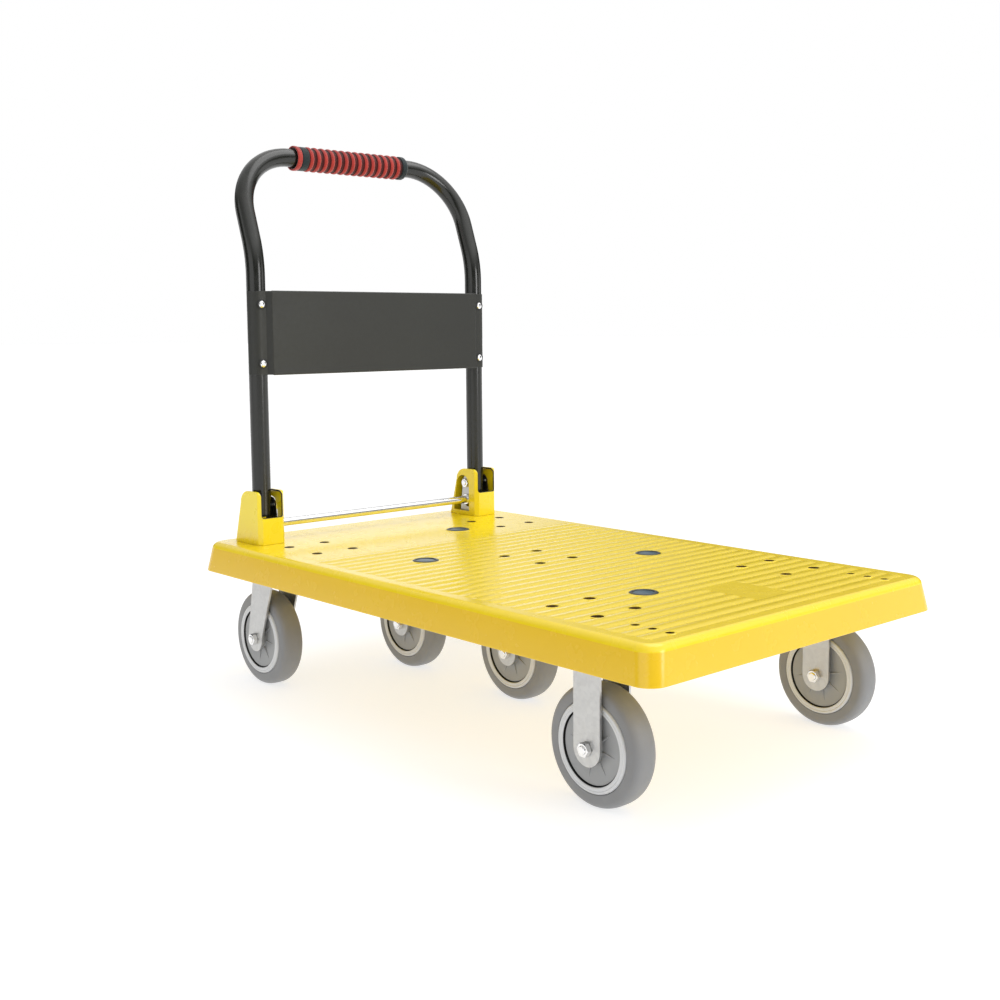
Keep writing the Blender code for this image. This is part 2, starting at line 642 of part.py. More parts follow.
def hinge_bracket(side_name, side):
    """The steel clevis inside a cover: a base on the deck and two ears that hold the pivot and guide the bar."""
    name = f"hinge_bracket_{side_name}"
    centre = side * HANDLE_Y
    base_low = DECK_BORDER + GAP
    outer = HINGE_PLATE_OFFSET + HINGE_PLATE_THICKNESS
    rear, front = HINGE_BASE_ENDS
    base = ((rear, centre - outer, base_low), (front, centre + outer, base_low + HINGE_BASE_THICKNESS))
    made = part(name, boxes(name, [base]), "galvanised")
    foot = base_low + HINGE_BASE_THICKNESS / 2
    ear = [(HANDLE_X - EAR_HALF_WIDTH, foot), *arc((HANDLE_X, PIVOT_Z), EAR_TOP_RADIUS, 165, 15, 6),
           (HANDLE_X + EAR_HALF_WIDTH, foot)]
    for label, sign in (("in", -1), ("out", 1)):
        low, high = sorted((centre + sign * HINGE_PLATE_OFFSET, centre + sign * outer))
        boolean(made, plate(f"{name}_ear_{label}", ear, low, high), "UNION")
    pivot = ((HANDLE_X, centre, PIVOT_Z), PIVOT_RADIUS + GAP, THROUGH)
    boolean(made, cylinders(f"{name}_pivot_bore", [pivot], 12, "Y"))
    guide = BAR_RADIUS + GAP
    slot = [*arc((BAR_X, BAR_Z), guide, 0, 180, 8), *arc((BAR_X, BAR_Z - BAR_TRAVEL - 0.0005), guide, 180, 360, 8)]
    boolean(made, plate(f"{name}_bar_slot", slot, centre - THROUGH / 2, centre + THROUGH / 2))


def pivot_bolt(side_name, side):
    """The bolt through ears and tube, its head on the outer side, and its nut on the inner side."""
    centre = side * HANDLE_Y
    face = HINGE_PLATE_OFFSET + HINGE_PLATE_THICKNESS + GAP
    at = (HANDLE_X, centre, PIVOT_Z)
    low, high = sorted((side * face, side * (face + PIVOT_HEAD_HEIGHT)))
    bolt_name = f"pivot_bolt_{side_name}"
    bolt = part(bolt_name, hexagon(bolt_name, 0.016, low, high), "bright_steel", at=at)
    ends = sorted((side * (face + PIVOT_HEAD_HEIGHT / 2), -side * (face + PIVOT_NUT_HEIGHT + 0.0015)))
    shank = ((0, sum(ends) / 2, 0), PIVOT_RADIUS, ends[1] - ends[0])
    boolean(bolt, cylinders(f"{bolt_name}_shank", [shank], 12, "Y"), "UNION")
    low, high = sorted((-side * face, -side * (face + PIVOT_NUT_HEIGHT)))
    nut_name = f"pivot_nut_{side_name}"
    nut = part(nut_name, hexagon(nut_name, 0.017, low, high), "bright_steel", at=at)
    bore = ((0, -side * face, 0), PIVOT_RADIUS + GAP, THROUGH)
    boolean(nut, cylinders(f"{nut_name}_bore", [bore], 12, "Y"))


def release_bar():
    """The foot bar between the brackets, with a collar inside each inner ear."""
    end = HANDLE_Y + HINGE_PLATE_OFFSET + 0.002
    collar_out = HANDLE_Y - HINGE_PLATE_OFFSET - HINGE_PLATE_THICKNESS - 0.0008
    collar_in = collar_out - COLLAR_LENGTH
    half = [(0.0, end), (BAR_RADIUS, end), (BAR_RADIUS, collar_out), (COLLAR_RADIUS, collar_out),
            (COLLAR_RADIUS, collar_in), (BAR_RADIUS, collar_in)]
    profile = half + [(radius, -height) for radius, height in reversed(half)]
    mesh = turned("release_bar", profile, steps=16, closed=False)
    part("release_bar", mesh, "bright_steel", at=(BAR_X, 0, BAR_Z), smooth=True)


def return_spring(side_name, side):
    """A coil spring that lifts the bar, standing on the bracket's base under the bar."""
    low = DECK_BORDER + GAP + HINGE_BASE_THICKNESS + GAP + SPRING_WIRE_RADIUS
    high = BAR_Z - BAR_RADIUS - GAP - SPRING_WIRE_RADIUS
    points_a_turn = 9
    count = SPRING_TURNS * points_a_turn + 1
    curve = bpy.data.curves.new(f"return_spring_{side_name}", "CURVE")
    curve.dimensions = "3D"
    curve.bevel_depth = SPRING_WIRE_RADIUS
    curve.bevel_resolution = 1
    curve.use_fill_caps = True
    spline = curve.splines.new("POLY")
    spline.points.add(count - 1)
    for index, point in enumerate(spline.points):
        share = index / (count - 1)
        angle = 2 * math.pi * SPRING_TURNS * share
        across, along = SPRING_RADIUS * math.cos(angle), SPRING_RADIUS * math.sin(angle)
        point.co = (across, along, low + (high - low) * share, 1)
    made = bpy.data.objects.new(f"return_spring_{side_name}", curve)
    bpy.context.scene.collection.objects.link(made)
    mesh = evaluated_mesh(made)
    part(f"return_spring_{side_name}", mesh, "bright_steel", at=(BAR_X, side * HANDLE_Y, 0), smooth=True)


def handle():
    axis = axis_empty("handle_axis", (HANDLE_X, 0, PIVOT_Z))
    handle_tube(axis)
    grip(axis)
    panel(axis)
    panel_screws(axis)


def brackets():
    for side_name, side in SIDES.items():
        bracket_cover(side_name, side)
        hinge_bracket(side_name, side)
        pivot_bolt(side_name, side)
        return_spring(side_name, side)
    release_bar()


clear_scene()
parts = collection("platform_cart")
cutters = collection("cutters")
deck()
deck_plugs()
casters()
handle()
brackets()
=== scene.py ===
import math

import bmesh
import bpy
from mathutils import Matrix, Vector


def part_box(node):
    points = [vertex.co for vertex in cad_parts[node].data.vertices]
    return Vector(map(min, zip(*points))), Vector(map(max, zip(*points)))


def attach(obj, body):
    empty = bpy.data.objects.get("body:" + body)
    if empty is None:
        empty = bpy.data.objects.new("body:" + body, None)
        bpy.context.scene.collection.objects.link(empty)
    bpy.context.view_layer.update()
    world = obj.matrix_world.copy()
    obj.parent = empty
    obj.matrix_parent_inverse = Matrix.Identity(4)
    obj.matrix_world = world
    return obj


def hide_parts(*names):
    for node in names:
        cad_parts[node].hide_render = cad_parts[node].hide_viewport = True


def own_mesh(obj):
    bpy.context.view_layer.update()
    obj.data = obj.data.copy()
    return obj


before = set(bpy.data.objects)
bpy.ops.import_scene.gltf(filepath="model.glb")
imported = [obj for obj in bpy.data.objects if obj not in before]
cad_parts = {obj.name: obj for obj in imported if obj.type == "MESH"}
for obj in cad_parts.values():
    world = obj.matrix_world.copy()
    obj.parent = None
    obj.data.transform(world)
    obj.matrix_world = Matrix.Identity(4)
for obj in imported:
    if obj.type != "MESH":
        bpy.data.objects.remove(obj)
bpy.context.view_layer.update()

# Folding platform cart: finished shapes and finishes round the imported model.
# +X runs from the handle end to the free end, +Y to the left, +Z up, metres.

scene = bpy.context.scene
touchGap = 0.0003  # clearance between pieces that fit together
cutPast = 0.01  # how far a cutter reaches beyond what it cuts


# meshes

def meshOf(name, shape):
    bmesh.ops.recalc_face_normals(shape, faces=shape.faces)
    mesh = bpy.data.meshes.new(name)
    shape.to_mesh(mesh)
    shape.free()
    return mesh


def newPiece(name, mesh, finishes, at=(0, 0, 0)):
    made = bpy.data.objects.new(name, mesh)
    scene.collection.objects.link(made)
    made.location = at
    if not mesh.materials:
        for finish in finishes:
            mesh.materials.append(finish)
    return made


def settledMesh(made):
    # the object's mesh with its modifiers worked in
    bpy.context.view_layer.update()
    return bpy.data.meshes.new_from_object(made.evaluated_get(bpy.context.evaluated_depsgraph_get()))


def settled(made):
    mesh = settledMesh(made)
    made.modifiers.clear()
    made.data = mesh
    return made


def boxMesh(name, corners):
    shape = bmesh.new()
    for low, high in corners:
        low, high = Vector(low), Vector(high)
        place = Matrix.Translation((low + high) / 2) @ Matrix.Diagonal((*(high - low), 1))
        bmesh.ops.create_cube(shape, size=1, matrix=place)
    return meshOf(name, shape)


def slabMesh(name, outline, low, high, axis="Y"):
    # an outline drawn across an axis and pushed along it: (x, z) for Y, (x, y) for Z, (y, z) for X
    def corner(point, level):
        across, up = point
        return {"X": (level, across, up), "Y": (across, level, up), "Z": (across, up, level)}[axis]
    shape = bmesh.new()
    ends = [[shape.verts.new(corner(point, level)) for point in outline] for level in (low, high)]
    for ring in ends:
        shape.faces.new(ring)
    for index in range(len(outline)):
        after = (index + 1) % len(outline)
        shape.faces.new((ends[0][index], ends[0][after], ends[1][after], ends[1][index]))
    return meshOf(name, shape)


def turnedMesh(name, profile, steps=72, axis="Y"):
    # a closed profile of (radius, height, finish index) points spun about an axis
    shape = bmesh.new()
    turns = [2 * math.pi * step / steps for step in range(steps)]
    rings = []
    for radius, height, _ in profile:
        if radius < 1e-6:
            rings.append([shape.verts.new((0, 0, height))] * steps)
        else:
            rings.append([shape.verts.new((radius * math.cos(a), radius * math.sin(a), height))
                          for a in turns])
    closed = profile[0][0] > 1e-6 or profile[-1][0] > 1e-6
    for index in range(len(rings) if closed else len(rings) - 1):
        near, far = rings[index], rings[(index + 1) % len(rings)]
        for step in range(steps):
            after = (step + 1) % steps
            corners = list(dict.fromkeys((near[step], near[after], far[after], far[step])))
            if len(corners) > 2:
                shape.faces.new(corners).material_index = profile[index][2]
    mesh = meshOf(name, shape)
    if axis == "Y":
        mesh.transform(Matrix.Rotation(math.radians(-90), 4, "X"))
    if axis == "X":
        mesh.transform(Matrix.Rotation(math.radians(90), 4, "Y"))
    return mesh


def rodMesh(radius, low, high, steps, axis="Y"):
    # a plain round rod or cutter along an axis
    return turnedMesh("rod", [(0.0, high, 0), (radius, high, 0), (radius, low, 0), (0.0, low, 0)], steps,
                      axis)


def arcPoints(centre, radius, start, end, steps):
    turns = [math.radians(start + (end - start) * step / steps) for step in range(steps + 1)]
    return [(centre[0] + radius * math.cos(a), centre[1] + radius * math.sin(a)) for a in turns]


def drawnTube(name, points, radius, resolution, capped=False):
    # a tube along a line of points, as a mesh
    curve = bpy.data.curves.new(name, "CURVE")
    curve.dimensions = "3D"
    curve.bevel_depth = radius
    curve.bevel_resolution = resolution
    curve.use_fill_caps = capped
    spline = curve.splines.new("POLY")
    spline.points.add(len(points) - 1)
    for point, place in zip(spline.points, points):
        point.co = (*place, 1)
    drawn = bpy.data.objects.new(name, curve)
    scene.collection.objects.link(drawn)
    mesh = settledMesh(drawn)
    bpy.data.objects.remove(drawn)
    return mesh


def joined(name, meshes):
    # several meshes as one; the parts are used up
    merged = bmesh.new()
    for mesh in meshes:
        merged.from_mesh(mesh)
        bpy.data.meshes.remove(mesh)
    return meshOf(name, merged)


def takenMesh(made):
    mesh = made.data
    bpy.data.objects.remove(made)
    return mesh


def carve(made, mesh, operation="DIFFERENCE"):
    tool = bpy.data.objects.new("carvingTool", mesh)
    scene.collection.objects.link(tool)
    tool.parent = made
    cut = made.modifiers.new("carve", "BOOLEAN")
    cut.operation = operation
    cut.object = tool
    cut.solver = "EXACT"
    settled(made)
    bpy.data.objects.remove(tool)
    return made


def roundEdges(made, width, segments=3, angle=35):
    edge = made.modifiers.new("roundEdges", "BEVEL")
    edge.width = width
    edge.segments = segments
    edge.limit_method = "ANGLE"
    edge.angle_limit = math.radians(angle)
    edge.miter_outer = "MITER_ARC"
    return settled(made)


def smooth(made, angle=35):
    made.data.shade_smooth()
    made.data.set_sharp_from_angle(angle=math.radians(angle))
    weigh = made.modifiers.new("evenNormals", "WEIGHTED_NORMAL")
    weigh.keep_sharp = True
    return made


def standsFor(made, body, slotName, *nodes):
    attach(made, body)
    if nodes:
        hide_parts(*nodes)
    return made


# effects that several finishes share

def newGroup(name, inputs, outputs):
    tree = bpy.data.node_groups.new(name, "ShaderNodeTree")
    kinds = {"color": "NodeSocketColor", "value": "NodeSocketFloat", "vector": "NodeSocketVector"}
    for label, kind, value in inputs:
        tree.interface.new_socket(name=label, in_out="INPUT", socket_type=kinds[kind]).default_value = value
    for label, kind in outputs:
        tree.interface.new_socket(name=label, in_out="OUTPUT", socket_type=kinds[kind])
    return tree, tree.nodes.new("NodeGroupInput"), tree.nodes.new("NodeGroupOutput")


def addNode(tree, kind, values=None, **settings):
    node = tree.nodes.new("ShaderNode" + kind)
    for name, value in settings.items():
        setattr(node, name, value)
    for name, value in (values or {}).items():
        if isinstance(value, bpy.types.NodeSocket):
            tree.links.new(value, node.inputs[name])
        else:
            node.inputs[name].default_value = value
    return node


def noiseNode(tree, where, scale, detail=3.0, roughness=0.5):
    return addNode(tree, "TexNoise",
                   {"Vector": where, "Scale": scale, "Detail": detail, "Roughness": roughness})


def stretchNode(tree, value, low, high, toLow=0.0, toHigh=1.0):
    return addNode(tree, "MapRange", {"Value": value, "From Min": low, "From Max": high, "To Min": toLow,
                                      "To Max": toHigh}).outputs["Result"]


def mathNode(tree, operation, first, second=0.5):
    return addNode(tree, "Math", {0: first, 1: second}, operation=operation).outputs[0]


def mixNode(tree, share, first, second, blend="MIX"):
    node = addNode(tree, "Mix", data_type="RGBA", blend_type=blend)
    for socket, value in zip((node.inputs[0], node.inputs[6], node.inputs[7]), (share, first, second)):
        if isinstance(value, bpy.types.NodeSocket):
            tree.links.new(value, socket)
        else:
            socket.default_value = value
    return node.outputs[2]


def buildToneDrift():
    # slow drift of shade over a surface, with fine specks
    tree, given, result = newGroup(
        "toneDrift",
        [("Color", "color", (1, 1, 1, 1)), ("Shade", "color", (0.5, 0.5, 0.5, 1)), ("Amount", "value", 0.3),
         ("Scale", "value", 4.0), ("Speck", "value", 0.1)],
        [("Color", "color"), ("Mask", "value")])
    where = addNode(tree, "TexCoord").outputs["Object"]
    slow = noiseNode(tree, where, given.outputs["Scale"], 4.0, 0.55).outputs["Fac"]
    mask = stretchNode(tree, slow, 0.35, 0.70)
    speckScale = mathNode(tree, "MULTIPLY", given.outputs["Scale"], 90.0)
    specks = stretchNode(tree, noiseNode(tree, where, speckScale, 2.0).outputs["Fac"], 0.55, 0.75)
    share = mathNode(tree, "MULTIPLY", mask, given.outputs["Amount"])
    drift = mixNode(tree, share, given.outputs["Color"], given.outputs["Shade"])
    speckShare = mathNode(tree, "MULTIPLY", specks, given.outputs["Speck"])
    tree.links.new(mixNode(tree, speckShare, drift, given.outputs["Shade"]), result.inputs["Color"])
    tree.links.new(mask, result.inputs["Mask"])
    return tree


def buildEdgeWear():
    # a broken mask along outer edges, from the difference between true and rounded normals
    tree, given, result = newGroup(
        "edgeWear",
        [("Width", "value", 0.0012), ("Amount", "value", 0.5), ("Breakup", "value", 90.0)],
        [("Mask", "value")])
    rounded = addNode(tree, "Bevel", {"Radius": given.outputs["Width"]}, samples=4).outputs["Normal"]
    true = addNode(tree, "NewGeometry").outputs["Normal"]
    facing = addNode(tree, "VectorMath", {0: rounded, 1: true}, operation="DOT_PRODUCT").outputs["Value"]
    edge = stretchNode(tree, facing, 0.985, 0.80)
    where = addNode(tree, "TexCoord").outputs["Object"]
    broken = stretchNode(tree, noiseNode(tree, where, given.outputs["Breakup"], 5.0, 0.65).outputs["Fac"],
                         0.42, 0.62)
    mask = mathNode(tree, "MULTIPLY", mathNode(tree, "MULTIPLY", edge, broken), given.outputs["Amount"])
    tree.links.new(mask, result.inputs["Mask"])
    return tree


def buildFineGrain():
    # the small relief of a moulded or sprayed skin
    tree, given, result = newGroup(
        "fineGrain",
        [("Scale", "value", 900.0), ("Wave", "value", 60.0), ("Wave Amount", "value", 0.3)],
        [("Height", "value"), ("Mask", "value")])
    where = addNode(tree, "TexCoord").outputs["Object"]
    fine = noiseNode(tree, where, given.outputs["Scale"], 3.0, 0.6).outputs["Fac"]
    slow = noiseNode(tree, where, given.outputs["Wave"], 2.0).outputs["Fac"]
    height = mathNode(tree, "ADD", fine, mathNode(tree, "MULTIPLY", slow, given.outputs["Wave Amount"]))
    tree.links.new(height, result.inputs["Height"])
    tree.links.new(stretchNode(tree, slow, 0.3, 0.7), result.inputs["Mask"])
    return tree


def buildDust():
    # pale dust that settles on what faces up
    tree, given, result = newGroup(
        "settledDust",
        [("Color", "color", (1, 1, 1, 1)), ("Dust", "color", (0.62, 0.60, 0.55, 1)), ("Amount", "value", 0.1),
         ("Scale", "value", 14.0)],
        [("Color", "color"), ("Mask", "value")])
    normal = addNode(tree, "NewGeometry").outputs["Normal"]
    up = stretchNode(tree, addNode(tree, "SeparateXYZ", {"Vector": normal}).outputs["Z"], 0.2, 1.0)
    where = addNode(tree, "TexCoord").outputs["Object"]
    noise = noiseNode(tree, where, given.outputs["Scale"], 6.0, 0.65).outputs["Fac"]
    patch = stretchNode(tree, noise, 0.40, 0.75)
    mask = mathNode(tree, "MULTIPLY", mathNode(tree, "MULTIPLY", up, patch), given.outputs["Amount"])
    tree.links.new(mixNode(tree, mask, given.outputs["Color"], given.outputs["Dust"]), result.inputs["Color"])
    tree.links.new(mask, result.inputs["Mask"])
    return tree


def buildScratches():
    # thin scuffs in crossing directions
    tree, given, result = newGroup(
        "fineScratches",
        [("Scale", "value", 20.0), ("Density", "value", 0.3)],
        [("Mask", "value")])
    where = addNode(tree, "TexCoord").outputs["Object"]
    lines = []
    for turn, stretch in ((0.4, 60.0), (1.9, 45.0)):
        lean = addNode(tree, "Mapping", {"Vector": where, "Rotation": (0.3, 0.2, turn),
                                         "Scale": (1.0, stretch, stretch * 0.5)})
        streak = noiseNode(tree, lean.outputs["Vector"], given.outputs["Scale"], 2.0, 0.4).outputs["Fac"]
        lines.append(stretchNode(tree, streak, 0.66, 0.74))
    both = mathNode(tree, "MAXIMUM", lines[0], lines[1])
    tree.links.new(mathNode(tree, "MULTIPLY", both, given.outputs["Density"]), result.inputs["Mask"])
    return tree


def buildSpangle():
    # zinc crystals: flat cells of slightly different shade
    tree, given, result = newGroup(
        "zincSpangle",
        [("Color", "color", (0.7, 0.7, 0.7, 1)), ("Shade", "color", (0.5, 0.5, 0.5, 1)),
         ("Scale", "value", 160.0)],
        [("Color", "color"), ("Mask", "value")])
    where = addNode(tree, "TexCoord").outputs["Object"]
    warp = noiseNode(tree, where, 40.0, 2.0).outputs["Color"]
    bent = mixNode(tree, 0.02, where, warp, "ADD")
    cells = addNode(tree, "TexVoronoi", {"Vector": bent, "Scale": given.outputs["Scale"]}).outputs["Color"]
    shade = addNode(tree, "SeparateColor", {"Color": cells}).outputs["Red"]
    tree.links.new(mixNode(tree, shade, given.outputs["Color"], given.outputs["Shade"]),
                   result.inputs["Color"])
    tree.links.new(shade, result.inputs["Mask"])
    return tree


def buildFoamCells():
    # open cells of foam rubber
    tree, given, result = newGroup("foamCells", [("Scale", "value", 1400.0)], [("Height", "value")])
    where = addNode(tree, "TexCoord").outputs["Object"]
    cells = addNode(tree, "TexVoronoi",
                    {"Vector": where, "Scale": given.outputs["Scale"]}).outputs["Distance"]
    lumps = noiseNode(tree, where, 260.0, 3.0).outputs["Fac"]
    tree.links.new(mathNode(tree, "ADD", cells, lumps), result.inputs["Height"])
    return tree


effects = {
    "toneDrift": buildToneDrift(),
    "edgeWear": buildEdgeWear(),
    "fineGrain": buildFineGrain(),
    "settledDust": buildDust(),
    "fineScratches": buildScratches(),
    "zincSpangle": buildSpangle(),
    "foamCells": buildFoamCells(),
}
print("effects ready:", ", ".join(effects))


# finishes

def rgb(red, green, blue):
    return (red, green, blue, 1.0)


def newFinish(name, **sockets):
    made = bpy.data.materials.new(name)
    made.use_nodes = True
    shader = made.node_tree.nodes["Principled BSDF"]
    for label, value in sockets.items():
        shader.inputs[label.replace("_", " ")].default_value = value
    return made, made.node_tree, shader


def effect(tree, name, values):
    node = tree.nodes.new("ShaderNodeGroup")
    node.node_tree = effects[name]
    for label, value in values.items():
        if isinstance(value, bpy.types.NodeSocket):
            tree.links.new(value, node.inputs[label])
        else:
            node.inputs[label].default_value = value
    return node


def relief(tree, shader, height, strength, distance):
    bump = addNode(tree, "Bump", {"Height": height, "Strength": strength, "Distance": distance})
    tree.links.new(bump.outputs["Normal"], shader.inputs["Normal"])


def drifting(tree, mask, middle, below, above):
    # a roughness that drifts a little round its middle value
    return stretchNode(tree, mask, 0.0, 1.0, middle - below, middle + above)


def raised(tree, value, mask, gain):
    # a value that a mask raises
    return mathNode(tree, "ADD", value, mathNode(tree, "MULTIPLY", mask, gain))


def mouldedPlastic(name, look):
    # glossy or satin moulded plastic: grain, drift of shade, scuffed edges, dust and scratches
    made, tree, shader = newFinish(name, Specular_IOR_Level=look["gloss"], Coat_Roughness=0.12)
    tone = effect(tree, "toneDrift", {"Color": look["color"], "Shade": look["shade"], "Amount": look["drift"],
                                      "Scale": look["driftScale"], "Speck": 0.06})
    wear = effect(tree, "edgeWear", {"Width": look["wearWidth"], "Amount": look["wear"], "Breakup": 70.0})
    worn = mixNode(tree, wear.outputs["Mask"], tone.outputs["Color"], look["wornColor"])
    dust = effect(tree, "settledDust", {"Color": worn, "Amount": look["dust"]})
    scuffs = effect(tree, "fineScratches", {"Scale": 9.0, "Density": look["scuffs"]})
    tree.links.new(dust.outputs["Color"], shader.inputs["Base Color"])
    grain = effect(tree, "fineGrain", {"Scale": look["grainScale"], "Wave": 45.0, "Wave Amount": 0.5})
    rough = drifting(tree, grain.outputs["Mask"], look["roughness"], 0.03, 0.04)
    rough = raised(tree, rough, scuffs.outputs["Mask"], 0.25)
    rough = raised(tree, rough, dust.outputs["Mask"], 0.6)
    tree.links.new(rough, shader.inputs["Roughness"])
    shader.inputs["Coat Weight"].default_value = look["coat"]
    relief(tree, shader, grain.outputs["Height"], look["bump"], 0.0004)
    return made


def sprayedSteel(name, look):
    # black powder coat: orange peel, faint wear to grey on the edges
    made, tree, shader = newFinish(name, Coat_Roughness=0.10, Specular_IOR_Level=0.50)
    tone = effect(tree, "toneDrift", {"Color": look["color"], "Shade": look["shade"], "Amount": 0.5,
                                      "Scale": 7.0, "Speck": 0.25})
    wear = effect(tree, "edgeWear", {"Width": 0.0010, "Amount": look["wear"], "Breakup": 140.0})
    worn = mixNode(tree, wear.outputs["Mask"], tone.outputs["Color"], rgb(0.22, 0.23, 0.22))
    dust = effect(tree, "settledDust", {"Color": worn, "Amount": 0.10})
    tree.links.new(dust.outputs["Color"], shader.inputs["Base Color"])
    grain = effect(tree, "fineGrain", {"Scale": look["grainScale"], "Wave": 120.0, "Wave Amount": 0.6})
    rough = drifting(tree, grain.outputs["Mask"], look["roughness"], 0.04, 0.05)
    tree.links.new(rough, shader.inputs["Roughness"])
    shader.inputs["Coat Weight"].default_value = look["coat"]
    relief(tree, shader, grain.outputs["Height"], look["bump"], 0.0003)
    return made


def barePlate(name, look):
    # zinc plated or bright steel: spangle, fine scratches and a little tarnish
    made, tree, shader = newFinish(name, Metallic=1.0)
    zinc = effect(tree, "zincSpangle",
                  {"Color": look["color"], "Shade": look["shade"], "Scale": look["cells"]})
    tarnish = effect(tree, "toneDrift", {"Color": zinc.outputs["Color"], "Shade": look["tarnish"],
                                         "Amount": look["drift"], "Scale": 22.0, "Speck": 0.08})
    tree.links.new(tarnish.outputs["Color"], shader.inputs["Base Color"])
    scuffs = effect(tree, "fineScratches", {"Scale": 30.0, "Density": 0.5})
    rough = drifting(tree, zinc.outputs["Mask"], look["roughness"], 0.04, 0.05)
    rough = raised(tree, rough, scuffs.outputs["Mask"], 0.18)
    tree.links.new(rough, shader.inputs["Roughness"])
    grain = effect(tree, "fineGrain", {"Scale": 700.0, "Wave": 90.0, "Wave Amount": 0.5})
    relief(tree, shader, grain.outputs["Height"], look["bump"], 0.0002)
    return made


def wheelRubber(name, look):
    # matt rubber: fine pitting, a drift of tone, and dust on what faces up
    made, tree, shader = newFinish(name, Specular_IOR_Level=0.35)
    tone = effect(tree, "toneDrift", {"Color": look["color"], "Shade": look["shade"], "Amount": 0.6,
                                      "Scale": 16.0, "Speck": 0.20})
    dust = effect(tree, "settledDust", {"Color": tone.outputs["Color"], "Amount": 0.10, "Scale": 30.0})
    tree.links.new(dust.outputs["Color"], shader.inputs["Base Color"])
    grain = effect(tree, "fineGrain", {"Scale": 1100.0, "Wave": 160.0, "Wave Amount": 0.8})
    rough = drifting(tree, tone.outputs["Mask"], look["roughness"], 0.06, 0.06)
    tree.links.new(rough, shader.inputs["Roughness"])
    relief(tree, shader, grain.outputs["Height"], 0.35, 0.0004)
    return made


def gripFoam(name, look):
    # foam rubber: open cells, a random drift of tone and a little dust
    made, tree, shader = newFinish(name, Specular_IOR_Level=0.25, Sheen_Weight=0.25, Sheen_Roughness=0.5)
    tone = effect(tree, "toneDrift", {"Color": look["color"], "Shade": look["shade"], "Amount": 0.7,
                                      "Scale": 26.0, "Speck": 0.35})
    dust = effect(tree, "settledDust", {"Color": tone.outputs["Color"], "Amount": 0.05})
    tree.links.new(dust.outputs["Color"], shader.inputs["Base Color"])
    cells = effect(tree, "foamCells", {"Scale": look["cells"]})
    rough = drifting(tree, tone.outputs["Mask"], look["roughness"], 0.08, 0.06)
    tree.links.new(rough, shader.inputs["Roughness"])
    relief(tree, shader, cells.outputs["Height"], 0.5, 0.0005)
    return made


